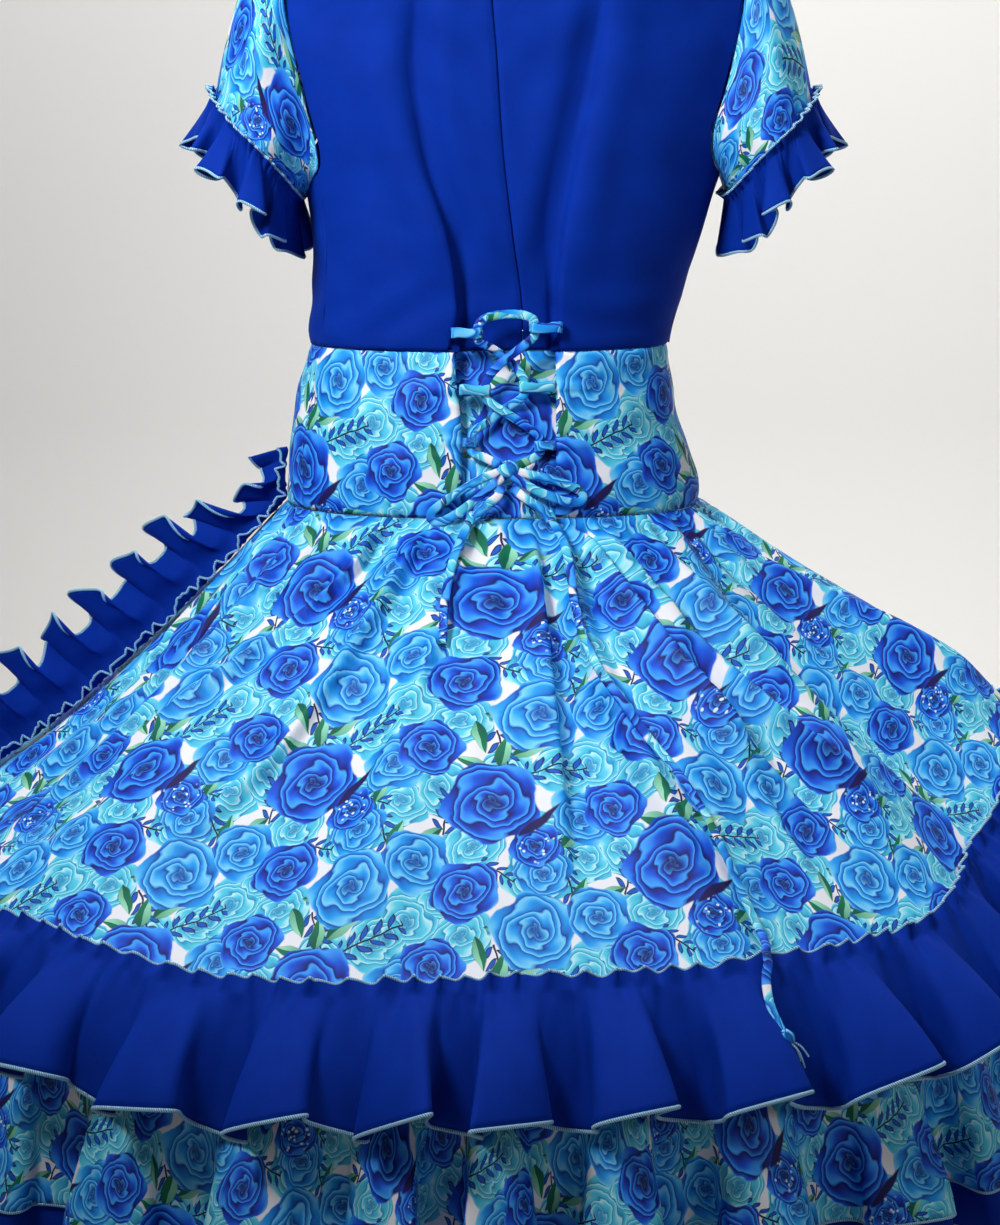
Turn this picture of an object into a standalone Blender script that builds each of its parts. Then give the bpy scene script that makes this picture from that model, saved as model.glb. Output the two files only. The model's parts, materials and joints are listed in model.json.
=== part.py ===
"""Cueca dress: a plain bodice, a laced print yoke and a full print skirt with gathered ruffles.

The dress is filled out as if worn. Metres, +Z up, back towards -Y, origin at the middle of the
shoulder line. Angles go round the body from the centre back, positive towards +X.
"""

import math
from collections import namedtuple

import bmesh
import bpy
from mathutils import Vector

# Driving sizes
WALL = 0.0012
SEAM_GAP = 0.0004
SIDE_GAP = 0.3
SHOULDER_SEAM = 0.0011
STRIP_GAP = 0.05
NARROW = 0.004
WAIST_Z = -0.400
HIP_Z = -0.533
SHOULDER_Z = -0.040
UNDERARM_Z = -0.262
NECK_HALF = 0.075
SHOULDER_HALF = 0.1845
BACK_NECK_DROP = 0.022
FRONT_NECK_DROP = 0.085
BACK_NECK_Y = -0.058
FRONT_NECK_Y = 0.072
ROUND_FROM_Z = -0.135
AXIS_X = -0.0195
ROUNDNESS = 2.3

# Side seams and armhole edges, degrees from the centre back
LEFT_SEAM = -64.0
RIGHT_SEAM = 84.0
BACK_EDGE = 57.0
FRONT_EDGE = 124.0
ARMHOLE_CURVE = 0.045

# Ruffles and flounces
RUFFLE_HEADING = 0.012
RUFFLE_DEPTH = 0.098
RUFFLE_WAVES = 36
RUFFLE_LEAN = 24.0
RUFFLE_KICK = 2.0
STITCHED = 0.0026
STITCH_AT = 0.996
FLOUNCE_DEPTH = 0.190
FLOUNCE_WAVES = 32
FLOUNCE_TOP_LEAN = 15.0
FLOUNCE_LEAN = 12.0
HEM_START = 2.0 / 3.0
HEM_SHOWS = 0.037
HEM_INSET_TOP = 0.0022
HEM_INSET_LOW = 0.0060
SLEEVE_HEADING = 0.007
SLEEVE_DEPTH = 0.040
SLEEVE_WAVES = 12
SLEEVE_STITCHED = 0.0028
SIDE_HEADING = 0.012
SIDE_DEPTH = 0.060
SIDE_WAVES = 11
SIDE_AT = -92.0
SIDE_TOP = -0.11
SIDE_END = 0.93
SIDE_STITCHED = 0.0022
SIDE_NARROWED = 0.45
SIDE_TURNED = 0.22
HEADING_LIFT = 0.0062

# How far each ruffle's waves swing out and sideways at its lower edge
RUFFLE_FOLD = 0.0135
RUFFLE_SWING = 0.010
RUFFLE_HEADING_FOLD = 0.0036
FLOUNCE_FOLD = 0.0185
FLOUNCE_SWING = 0.006
SLEEVE_FOLD = 0.0075
SLEEVE_SWING = 0.004
SLEEVE_HEADING_FOLD = 0.0026
SLEEVE_FLARE = 0.006
SIDE_FOLD = 0.0030
SIDE_SWING = 0.0110

# The short sleeves: the middle of the arm at the shoulder and at the hem, and the hem's ring
SLEEVE_ARM = (0.1750, -0.1500)
SLEEVE_HEM = (0.2120, -0.2430)
SLEEVE_TILT = (0.0330, 0.0390)
SLEEVE_HALF_DEPTH = 0.086
SLEEVE_SWELL = 0.014
SLEEVE_SEAM_OUTER = 0.0016
SLEEVE_SEAM_UNDER = 0.0026
SLEEVE_STITCH_AT = 0.97

# Lacing: fabric loops on both sides of the sunk strip, and a lace with a bow and two tails
LACE_RADIUS = 0.0022
LACE_STEP = 0.014
TAB_WIDTH = 0.0085
TAB_HALF = 0.0036
KNOT_SIZE = (0.0075, 0.0058, 0.0068)
END_KNOT_SIZE = (0.0055, 0.0050, 0.0065)

Section = namedtuple("Section", "z centre_x half_width back front")
TORSO = [
    Section(-0.535, -0.0165, 0.1725, 0.1130, 0.1180),
    Section(-0.507, -0.0180, 0.1710, 0.1120, 0.1180),
    Section(-0.470, -0.0230, 0.1620, 0.1080, 0.1170),
    Section(-0.440, -0.0235, 0.1560, 0.1040, 0.1150),
    Section(-0.400, -0.0205, 0.1500, 0.1000, 0.1120),
    Section(-0.355, -0.0130, 0.1545, 0.1040, 0.1180),
    Section(-0.310, -0.0060, 0.1600, 0.1090, 0.1250),
    Section(-0.262, -0.0025, 0.1710, 0.1100, 0.1290),
    Section(-0.220, -0.0010, 0.1880, 0.1090, 0.1270),
    Section(-0.180, 0.0000, 0.2000, 0.1060, 0.1180),
    Section(-0.120, 0.0000, 0.2130, 0.0970, 0.1000),
    Section(-0.060, 0.0000, 0.2150, 0.0800, 0.0820),
    Section(-0.040, 0.0000, 0.2150, 0.0720, 0.0760),
]

# The laced centre of the back sits deeper than the cloth on both sides of it
Recess = namedtuple("Recess", "z seam_x left_x right_x depth")
RECESS = [
    Recess(-0.535, 0.0000, -0.0440, 0.0340, 0.0020),
    Recess(-0.470, 0.0020, -0.0420, 0.0340, 0.0110),
    Recess(-0.400, 0.0065, -0.0480, 0.0340, 0.0150),
    Recess(-0.366, 0.0065, -0.0430, 0.0330, 0.0140),
    Recess(-0.310, -0.0010, -0.0490, 0.0340, 0.0105),
    Recess(-0.250, -0.0085, -0.0700, 0.0460, 0.0065),
    Recess(-0.180, -0.0135, -0.0820, 0.0620, 0.0030),
    Recess(-0.120, -0.0175, -0.0800, 0.0720, 0.0000),
    Recess(-0.040, -0.0100, -0.0750, 0.0750, 0.0000),
]

# The line where the skirt ends and the first ruffle is sewn on
Ring = namedtuple("Ring", "degrees radius z sag")
RING = [
    Ring(-180.0, 0.460, -0.800, 0.010),
    Ring(-135.0, 0.490, -0.812, 0.018),
    Ring(-90.0, 0.520, -0.826, 0.026),
    Ring(-45.0, 0.490, -0.814, 0.014),
    Ring(-24.0, 0.476, -0.831, 0.004),
    Ring(0.0, 0.462, -0.824, 0.000),
    Ring(45.0, 0.470, -0.815, 0.000),
    Ring(61.0, 0.440, -0.788, 0.000),
    Ring(90.0, 0.466, -0.724, 0.000),
    Ring(135.0, 0.472, -0.770, 0.006),
    Ring(180.0, 0.460, -0.800, 0.010),
]

# Soft folds of the skirt; a negative depth is a trough, and each runs from a place near the
# lacing or the waist to a place at the ruffle
Fold = namedtuple("Fold", "top_deg low_deg width_deg depth starts grows ends")
FOLDS = [
    Fold(-168.0, -170.0, 11.0, 0.016, 0.10, 0.60, 1.40),
    Fold(-140.0, -146.0, 10.0, -0.015, 0.05, 0.60, 1.40),
    Fold(-118.0, -121.0, 9.0, 0.014, 0.10, 0.60, 1.40),
    Fold(-66.0, -68.0, 8.0, -0.012, 0.05, 0.50, 1.20),
    Fold(-46.0, -50.0, 7.0, 0.011, 0.20, 0.60, 1.40),
    Fold(-22.0, -92.0, 5.0, -0.009, 0.00, 0.12, 0.46),
    Fold(-20.0, -30.0, 6.0, -0.011, 0.15, 0.60, 1.20),
    Fold(-6.0, -12.0, 5.0, 0.009, 0.20, 0.70, 1.40),
    Fold(12.5, 13.5, 4.5, -0.013, 0.05, 0.40, 0.95),
    Fold(20.0, 24.0, 5.0, 0.010, 0.10, 0.60, 1.40),
    Fold(24.0, 70.0, 4.6, -0.017, 0.02, 0.22, 0.66),
    Fold(34.0, 42.0, 6.0, -0.009, 0.30, 0.70, 1.20),
    Fold(44.0, 54.0, 6.0, 0.010, 0.10, 0.60, 1.40),
    Fold(50.0, 68.0, 5.5, -0.013, 0.05, 0.50, 1.20),
    Fold(78.0, 84.0, 9.0, 0.012, 0.10, 0.60, 1.40),
    Fold(106.0, 108.0, 9.0, -0.014, 0.05, 0.60, 1.40),
    Fold(128.0, 132.0, 9.0, 0.014, 0.10, 0.60, 1.40),
    Fold(158.0, 160.0, 10.0, -0.015, 0.05, 0.60, 1.40),
]
SKIRT_ROWS = (0.0, 0.14, 0.32, 0.52, 0.74, 0.93, 1.0)

# A tab on the bodice lies on the cloth; one on the yoke grows from the panel's edge
Tab = namedtuple("Tab", "side number z start_x end_x lies_on")
TABS = [
    Tab("left", 1, -0.3840, -0.0500, -0.0255, True),
    Tab("right", 1, -0.3800, 0.0385, 0.0125, True),
    Tab("left", 2, -0.4300, -0.0436, -0.0190, False),
    Tab("right", 2, -0.4280, 0.0330, 0.0045, False),
    Tab("left", 3, -0.4715, -0.0410, -0.0300, False),
    Tab("right", 3, -0.4745, 0.0330, 0.0170, False),
]

# The lace's way through the tabs, from the left of the bow knot to its right
Place = namedtuple("Place", "x y z")
LACING = [
    Place(-0.0114, -0.1122, -0.4893),
    Place(-0.0230, -0.1095, -0.4840),
    Place(-0.0336, -0.1078, -0.4795),
    Place(-0.0338, -0.1078, -0.4760),
    Place(-0.0338, -0.1078, -0.4715),
    Place(-0.0338, -0.1078, -0.4670),
    Place(-0.0334, -0.1074, -0.4635),
    Place(-0.0230, -0.1020, -0.4570),
    Place(-0.0080, -0.0975, -0.4460),
    Place(0.0020, -0.0975, -0.4400),
    Place(0.0080, -0.0978, -0.4345),
    Place(0.0080, -0.0978, -0.4280),
    Place(0.0080, -0.0978, -0.4215),
    Place(0.0010, -0.0970, -0.4120),
    Place(-0.0070, -0.0968, -0.4045),
    Place(-0.0190, -0.1010, -0.3960),
    Place(-0.0291, -0.1047, -0.3905),
    Place(-0.0291, -0.1047, -0.3840),
    Place(-0.0285, -0.1047, -0.3775),
    Place(-0.0235, -0.1045, -0.3725),
    Place(-0.0140, -0.1035, -0.3700),
    Place(-0.0030, -0.1025, -0.3690),
    Place(0.0080, -0.1018, -0.3700),
    Place(0.0156, -0.1018, -0.3737),
    Place(0.0161, -0.1018, -0.3800),
    Place(0.0161, -0.1018, -0.3865),
    Place(0.0075, -0.1022, -0.3945),
    Place(-0.0060, -0.1026, -0.4045),
    Place(-0.0165, -0.1024, -0.4145),
    Place(-0.0226, -0.1022, -0.4235),
    Place(-0.0226, -0.1022, -0.4300),
    Place(-0.0226, -0.1022, -0.4365),
    Place(-0.0165, -0.1028, -0.4420),
    Place(-0.0070, -0.1036, -0.4480),
    Place(0.0100, -0.1040, -0.4590),
    Place(0.0206, -0.1042, -0.4680),
    Place(0.0206, -0.1042, -0.4745),
    Place(0.0206, -0.1042, -0.4810),
    Place(0.0130, -0.1080, -0.4855),
    Place(0.0032, -0.1122, -0.4898),
]
KNOT_AT = Place(-0.0043, -0.1120, -0.4925)
BOW_LEFT = [
    Place(-0.0116, -0.1123, -0.4943),
    Place(-0.0220, -0.1140, -0.4985),
    Place(-0.0340, -0.1155, -0.5045),
    Place(-0.0480, -0.1165, -0.5130),
    Place(-0.0600, -0.1170, -0.5215),
    Place(-0.0665, -0.1172, -0.5270),
    Place(-0.0665, -0.1180, -0.5325),
    Place(-0.0600, -0.1190, -0.5345),
    Place(-0.0480, -0.1192, -0.5290),
    Place(-0.0360, -0.1190, -0.5205),
    Place(-0.0240, -0.1180, -0.5110),
    Place(-0.0117, -0.1145, -0.4992),
]
BOW_RIGHT = [
    Place(0.0032, -0.1124, -0.4943),
    Place(0.0160, -0.1140, -0.4975),
    Place(0.0280, -0.1140, -0.5000),
    Place(0.0400, -0.1132, -0.5040),
    Place(0.0510, -0.1122, -0.5090),
    Place(0.0560, -0.1120, -0.5140),
    Place(0.0520, -0.1135, -0.5190),
    Place(0.0400, -0.1155, -0.5180),
    Place(0.0280, -0.1165, -0.5135),
    Place(0.0160, -0.1165, -0.5085),
    Place(0.0042, -0.1146, -0.4998),
]

# Where the tails lie: an angle, a share of the way down the skirt (below 0 on the yoke, above 1
# on the ruffle) and a height above the cloth
Stop = namedtuple("Stop", "degrees down lift")
SHORT_TAIL = [
    Stop(1.7, -0.205, 0.0035),
    Stop(0.9, -0.150, 0.0045),
    Stop(-0.7, -0.100, 0.0050),
    Stop(-2.4, -0.050, 0.0052),
    Stop(-4.2, 0.010, 0.0050),
    Stop(-5.6, 0.060, 0.0042),
    Stop(-7.0, 0.110, 0.0038),
    Stop(-7.6, 0.160, 0.0036),
    Stop(-7.7, 0.215, 0.0036),
    Stop(-7.4, 0.293, 0.0036),
]
LONG_TAIL = [
    Stop(4.0, -0.200, 0.0035),
    Stop(5.6, -0.155, 0.0050),
    Stop(8.0, -0.110, 0.0058),
    Stop(10.4, -0.065, 0.0060),
    Stop(12.2, -0.005, 0.0055),
    Stop(13.3, 0.060, 0.0042),
    Stop(14.2, 0.130, 0.0052),
    Stop(14.9, 0.200, 0.0054),
    Stop(16.2, 0.293, 0.0044),
    Stop(17.7, 0.392, 0.0036),
    Stop(19.8, 0.500, 0.0036),
    Stop(22.2, 0.595, 0.0036),
    Stop(23.7, 0.688, 0.0036),
    Stop(24.5, 0.780, 0.0036),
    Stop(25.2, 0.870, 0.0038),
    Stop(25.5, 0.920, 0.0060),
    Stop(25.3, 0.955, 0.0115),
    Stop(24.9, 0.990, 0.0130),
    Stop(24.3, 1.120, 0.0105),
    Stop(24.0, 1.320, 0.0105),
    Stop(24.3, 1.530, 0.0120),
]
END_KNOT = Stop(24.5, 1.590, 0.0120)

Finish = namedtuple("Finish", "colour roughness")
BLUE = Finish((0.006, 0.035, 0.330), 0.75)
PRINT = Finish((0.160, 0.480, 0.800), 0.70)

COLLECTION = "cueca_dress"


def lerp(a, b, t):
    return a + (b - a) * t


def ease(t):
    t = min(1.0, max(0.0, t))
    return t * t * (3.0 - 2.0 * t)


def hermite(x0, x1, x2, x3, y0, y1, y2, y3, at):
    """A smooth curve between the two middle rows of a table."""
    t = (at - x1) / (x2 - x1)
    start = (y2 - y0) / (x2 - x0) * (x2 - x1)
    end = (y3 - y1) / (x3 - x1) * (x2 - x1)
    return (
        (2 * t**3 - 3 * t**2 + 1) * y1
        + (t**3 - 2 * t**2 + t) * start
        + (3 * t**2 - 2 * t**3) * y2
        + (t**3 - t**2) * end
    )


def read(table, column, at):
    """A column of a table at a height between its rows."""
    first, last = table[0], table[-1]
    if at <= first[0]:
        return getattr(first, column)
    if at >= last[0]:
        return getattr(last, column)
    low = max(i for i in range(len(table) - 1) if table[i][0] <= at)
    rows = [table[max(low - 1, 0)], table[low], table[low + 1], table[min(low + 2, len(table) - 1)]]
    return hermite(*(row[0] for row in rows), *(getattr(row, column) for row in rows), at)


def read_ring(column, degrees):
    """A column of the ring table at an angle, with no step where the round closes."""
    at = (degrees + 180.0) % 360.0 - 180.0
    count = len(RING) - 1
    low = max(i for i in range(count) if RING[i].degrees <= at)
    angles = []
    values = []
    for step in (-1, 0, 1, 2):
        turns, place = divmod(low + step, count)
        angles.append(RING[place].degrees + 360.0 * turns)
        values.append(getattr(RING[place], column))
    return hermite(*angles, *values, at)


def signed_power(value, power):
    return math.copysign(abs(value) ** power, value)


def torso(z, degrees):
    """A point of the body's form at a height and an angle, as (x, y)."""
    turn = math.radians(degrees)
    depth = read(TORSO, "back" if math.cos(turn) > 0 else "front", z)
    x = read(TORSO, "centre_x", z) + read(TORSO, "half_width", z) * signed_power(
        math.sin(turn), 2.0 / ROUNDNESS
    )
    return x, -depth * signed_power(math.cos(turn), 2.0 / ROUNDNESS)


def angle_of(z, x):
    """The angle, on the back half, at which the body's form has a given x."""
    share = (x - read(TORSO, "centre_x", z)) / read(TORSO, "half_width", z)
    share = min(1.0, max(-1.0, share))
    return math.degrees(math.asin(signed_power(share, ROUNDNESS / 2.0)))


def recess_step(z):
    """The width of the step down into the laced centre: steep at the waist, soft higher up."""
    return lerp(0.007, 0.030, ease((z - WAIST_Z) / 0.2))


def recess_at(z, x):
    """How far the laced centre lies inside the body's form."""
    left, right = read(RECESS, "left_x", z), read(RECESS, "right_x", z)
    step = recess_step(z)
    inside = min(ease((x - left) / step + 0.5), ease((right - x) / step + 0.5))
    return read(RECESS, "depth", z) * inside


def armhole_angle(z, seam, edge):
    """The angle of a bodice edge: the side seam below the underarm, the armhole above it."""
    climb = min(1.0, max(0.0, (z - UNDERARM_Z) / ARMHOLE_CURVE))
    return lerp(seam, edge, math.sqrt(climb * (2.0 - climb)))


def top_of(x, drop):
    """The height of the neckline or the shoulder seam above a given x."""
    across = abs(x)
    if across < NECK_HALF:
        return -drop * math.sqrt(1.0 - (across / NECK_HALF) ** 2)
    return SHOULDER_Z * (across - NECK_HALF) / (SHOULDER_HALF - NECK_HALF)


def rounded(x, y_body, z, side):
    """Draws the body's form in to the neckline and the shoulder seam near the top."""
    rise = min(1.0, max(0.0, (z - ROUND_FROM_Z) / (SHOULDER_Z - ROUND_FROM_Z)))
    neck = BACK_NECK_Y if side < 0 else FRONT_NECK_Y
    y_top = side * SHOULDER_SEAM
    if abs(x) < NECK_HALF:
        y_top += neck * math.sqrt(1.0 - (x / NECK_HALF) ** 2)
    return y_top + (y_body - y_top) * math.sqrt(1.0 - rise * rise)


def bodice_back(sign, across, up):
    """A point of one half of the back bodice, from the centre seam out and the waist up."""
    z = lerp(WAIST_Z + SEAM_GAP, SHOULDER_Z, up)
    seam_x = read(RECESS, "seam_x", z) + sign * SEAM_GAP
    fold_x = read(RECESS, "left_x" if sign < 0 else "right_x", z)
    half_step = 0.5 * recess_step(z) * (1.0 - ease((z + 0.2) / 0.1))
    side = LEFT_SEAM if sign < 0 else RIGHT_SEAM
    stops = [
        angle_of(z, seam_x),
        angle_of(z, fold_x - sign * half_step),
        angle_of(z, fold_x + sign * (half_step + 0.0005)),
        armhole_angle(z, side, sign * BACK_EDGE),
    ]
    marks = [0.0, 0.3, 0.4, 1.0]
    place = max(i for i in range(3) if marks[i] <= across)
    share = (across - marks[place]) / (marks[place + 1] - marks[place])
    x, y = torso(z, lerp(stops[place], stops[place + 1], share))
    y = rounded(x, y + recess_at(z, x), z, -1.0)
    top = top_of(x, BACK_NECK_DROP)
    return Vector((x, y, lerp(WAIST_Z + SEAM_GAP, top, up)))


def bodice_front(across, up):
    """A point of the front bodice, from the wearer's right seam round to the left one."""
    z = lerp(WAIST_Z + SEAM_GAP, SHOULDER_Z, up)
    right = armhole_angle(z, RIGHT_SEAM + SIDE_GAP, FRONT_EDGE)
    left = armhole_angle(z, LEFT_SEAM - SIDE_GAP, -FRONT_EDGE) + 360.0
    side = right if across < 0.5 else left
    x, y = torso(z, lerp(180.0, side, abs(2.0 * across - 1.0)))
    y = rounded(x, y, z, 1.0)
    return Vector((x, y, lerp(WAIST_Z + SEAM_GAP, top_of(x, FRONT_NECK_DROP), up)))


def yoke(degrees, down):
    """A point of the hip yoke, from the waist seam down to the hip seam."""
    z = lerp(WAIST_Z - SEAM_GAP, HIP_Z + SEAM_GAP, down)
    x, y = torso(z, degrees)
    return Vector((x, y, z))


def yoke_panel(from_x, to_x, from_deg, to_deg):
    """A yoke panel whose edges follow an x or an angle."""

    def place(across, down):
        z = lerp(WAIST_Z - SEAM_GAP, HIP_Z + SEAM_GAP, down)
        start = from_deg if from_x is None else angle_of(z, read(RECESS, from_x, z))
        end = to_deg if to_x is None else angle_of(z, read(RECESS, to_x, z))
        return yoke(lerp(start, end, across), down)

    return place


def yoke_centre(across, down):
    """The sunk strip behind the lacing."""
    z = lerp(WAIST_Z - SEAM_GAP, HIP_Z + SEAM_GAP, down)
    left = read(RECESS, "left_x", z) - 0.0035
    right = read(RECESS, "right_x", z) + 0.0035
    x, y = torso(z, angle_of(z, lerp(left, right, across)))
    return Vector((x, y + read(RECESS, "depth", z) + 0.0002, z))


def skirt(degrees, down):
    """A point of the skirt, from the hip seam down to the ruffle seam."""
    z = HIP_Z - SEAM_GAP
    x, y = torso(z, degrees)
    turn = math.radians(degrees)
    out = Vector((math.sin(turn), -math.cos(turn), 0.0))
    low = Vector((AXIS_X, 0.0, read_ring("z", degrees))) + out * read_ring("radius", degrees)
    point = Vector((x, y, z)).lerp(low, down)
    point.z -= read_ring("sag", degrees) * math.sin(math.pi * down)
    lift = 0.0
    for fold in FOLDS:
        middle = lerp(fold.top_deg, fold.low_deg, down)
        off = (degrees - middle + 180.0) % 360.0 - 180.0
        grown = ease((down - fold.starts) / (fold.grows - fold.starts))
        gone = 1.0 - ease((down - fold.ends + 0.4) / 0.4)
        lift += fold.depth * grown * gone * math.exp(-((off / fold.width_deg) ** 2))
    lift *= 1.0 - 0.8 * ease((down - 0.68) / 0.32)
    slope = (low - Vector((x, y, z))).normalized()
    across = Vector((math.cos(turn), math.sin(turn), 0.0))
    return point + across.cross(slope) * (-lift)


def skirt_frame(degrees, down):
    """The skirt's point, its outward normal, its downward and its sideways direction."""
    step = 0.5
    reach = 0.01
    point = skirt(degrees, down)
    side = (skirt(degrees + step, down) - skirt(degrees - step, down)).normalized()
    fall = (skirt(degrees, down + reach) - skirt(degrees, down - reach)).normalized()
    normal = fall.cross(side).normalized()
    return point, normal, fall, side


def hanging(far, length, start_lean, end_lean):
    """The offset of cloth that starts at one lean from the vertical and eases to another."""
    lean = math.radians(lerp(start_lean, end_lean, 0.5 * (far / length) ** 1.3))
    return math.sin(lean) * far, math.cos(lean) * far


def wave_at(degrees, waves, uneven):
    """The phase of a ruffle's wave; its spacing is a little uneven."""
    turn = math.radians(degrees)
    return waves * turn + uneven * math.sin(3.0 * turn + 0.7) + uneven * math.sin(7.0 * turn)


def ring_ruffle(degrees, far):
    """A point of the first ruffle; far is the way down from its stitching, or up if negative."""
    point, normal, fall, side = skirt_frame(degrees, STITCH_AT)
    turn = math.radians(degrees)
    out = Vector((math.sin(turn), -math.cos(turn), 0.0))
    phase = wave_at(degrees, RUFFLE_WAVES, 0.5)
    if far < 0.0:
        share = -far / RUFFLE_HEADING
        lift = lerp(STITCHED, HEADING_LIFT, share) + RUFFLE_HEADING_FOLD * share * math.sin(phase)
        return point + fall * far + normal * lift
    share = far / RUFFLE_DEPTH
    slope = math.degrees(math.atan2(math.hypot(fall.x, fall.y), -fall.z))
    outwards, downwards = hanging(far, RUFFLE_DEPTH, slope + RUFFLE_KICK, RUFFLE_LEAN)
    swing = RUFFLE_SWING * share * math.sin(2.0 * phase)
    lift = RUFFLE_FOLD * share * math.sin(phase)
    hung = point + normal * STITCHED + out * (outwards + lift) + side * swing
    hung.z -= downwards - 0.5 * lift
    return hung


def flounce(degrees, far):
    """A point of the print flounce under the first ruffle."""
    point, normal, fall, side = skirt_frame(degrees, 1.0)
    turn = math.radians(degrees)
    out = Vector((math.sin(turn), -math.cos(turn), 0.0))
    share = far / FLOUNCE_DEPTH
    phase = wave_at(degrees, FLOUNCE_WAVES, 0.7) + 0.5
    outwards, downwards = hanging(far, FLOUNCE_DEPTH, FLOUNCE_TOP_LEAN, FLOUNCE_LEAN)
    lift = FLOUNCE_FOLD * ease(share) ** 0.8 * math.sin(phase)
    hung = point + fall * WALL + out * (outwards + lift)
    hung += side * (FLOUNCE_SWING * share * math.sin(2.0 * phase))
    hung.z -= downwards
    return hung


def hem_flounce(degrees, share):
    """A point of the plain under-flounce: sewn inside the print one, it shows below its hem."""
    turn = math.radians(degrees)
    out = Vector((math.sin(turn), -math.cos(turn), 0.0))
    if share < 0.5:
        far = FLOUNCE_DEPTH * lerp(HEM_START, 1.0, 2.0 * share)
    else:
        far = FLOUNCE_DEPTH + HEM_SHOWS * (2.0 * share - 1.0)
    return flounce(degrees, far) - out * lerp(HEM_INSET_TOP, HEM_INSET_LOW, share)


def armhole_point(sign, turn):
    """A point of the armhole; turn runs 0 at the shoulder, by the back, 0.5 at the underarm."""
    z = lerp(SHOULDER_Z, UNDERARM_Z, 0.5 - 0.5 * math.cos(2.0 * math.pi * turn))
    up = (z - WAIST_Z - SEAM_GAP) / (SHOULDER_Z - WAIST_Z - SEAM_GAP)
    if turn < 0.5:
        return bodice_back(sign, 1.0, up)
    return bodice_front(0.0 if sign > 0 else 1.0, up)


def sleeve_middle(sign, down):
    """The middle of the arm, from the shoulder to the sleeve's hem."""
    return Vector(
        (sign * lerp(SLEEVE_ARM[0], SLEEVE_HEM[0], down), 0.0, lerp(SLEEVE_ARM[1], SLEEVE_HEM[1], down))
    )


def sleeve_hem(sign, turn):
    """The ring that the short sleeve ends in, tilted to be lower at the underarm."""
    angle = 2.0 * math.pi * turn
    tilt = Vector((sign * SLEEVE_TILT[0], 0.0, SLEEVE_TILT[1]))
    deep = Vector((0.0, -SLEEVE_HALF_DEPTH * math.sin(angle), 0.0))
    return sleeve_middle(sign, 1.0) + tilt * math.cos(angle) + deep


def sleeve(sign, turn, down):
    """A point of the short loose sleeve."""
    outer = 0.5 + 0.5 * math.cos(2.0 * math.pi * turn)
    seam = sign * lerp(SLEEVE_SEAM_UNDER, SLEEVE_SEAM_OUTER, outer)
    start = armhole_point(sign, turn) + Vector((seam, 0.0, 0.0))
    point = start.lerp(sleeve_hem(sign, turn), down)
    swell = SLEEVE_SWELL * math.sin(math.pi * down) * outer
    return point + (point - sleeve_middle(sign, down)).normalized() * swell


def sleeve_ruffle(sign, turn, far):
    """A point of the ruffle round the sleeve's hem."""
    reach, step = 0.02, 0.005
    hem = sleeve(sign, turn, SLEEVE_STITCH_AT)
    fall = (sleeve(sign, turn, 1.0) - sleeve(sign, turn, 1.0 - reach)).normalized()
    after, before = (sleeve(sign, turn + off, SLEEVE_STITCH_AT) for off in (step, -step))
    side = (after - before).normalized()
    normal = fall.cross(side).normalized()
    if normal.dot(hem - sleeve_middle(sign, 1.0)) < 0:
        normal.negate()
    fall = (fall + Vector((0.0, 0.0, -0.9))).normalized()
    phase = 2.0 * math.pi * SLEEVE_WAVES * turn + 0.6 * math.sin(4.0 * math.pi * turn)
    if far < 0.0:
        share = -far / SLEEVE_HEADING
        fold = SLEEVE_HEADING_FOLD * share * math.sin(phase)
        return hem + fall * far + normal * (lerp(SLEEVE_STITCHED, HEADING_LIFT, share) + fold)
    share = far / SLEEVE_DEPTH
    lift = SLEEVE_STITCHED + share * (SLEEVE_FLARE + SLEEVE_FOLD * math.sin(phase))
    swing = SLEEVE_SWING * share * math.sin(2.0 * phase)
    return hem + fall * far + normal * lift + side * swing


def side_frame(down):
    """As skirt_frame, down the left side seam; below 0 it goes on up the yoke and turns upright."""
    point, normal, fall, side = skirt_frame(SIDE_AT, max(down, 0.02))
    if down < 0.0:
        point = yoke(SIDE_AT, 1.0 + down * 3.0)
    elif down < 0.02:
        point = skirt(SIDE_AT, down)
    upright = ease((SIDE_TURNED - down) / (SIDE_TURNED - SIDE_TOP))
    normal = normal.lerp(Vector((-1.0, 0.0, 0.0)), upright).normalized()
    fall = fall.lerp(Vector((0.0, 0.0, -1.0)), upright).normalized()
    return point, normal, fall, side


def side_ruffle(along, far):
    """A point of the ruffle down the left side, from the yoke to the first ring ruffle."""
    point, normal, fall, side = side_frame(lerp(SIDE_TOP, SIDE_END, along))
    phase = 2.0 * math.pi * SIDE_WAVES * along + 0.5 * math.sin(5.0 * along)
    if far < 0.0:
        share = -far / SIDE_HEADING
        fold = RUFFLE_HEADING_FOLD * share * math.sin(phase)
        return point - side * far + normal * (lerp(SIDE_STITCHED, HEADING_LIFT, share) + fold)
    share = far / SIDE_DEPTH
    far *= lerp(SIDE_NARROWED, 1.0, ease(along / 0.3))
    turned = math.radians(lerp(20.0, 75.0, ease(share * 2.0)))
    across = -side * math.cos(turned) + normal * math.sin(turned)
    lengthwise = share * (RUFFLE_SWING + SIDE_FOLD * math.sin(phase))
    lift = SIDE_STITCHED + SIDE_SWING * share * math.cos(phase)
    return point + across * far + fall * lengthwise + normal * lift


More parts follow.
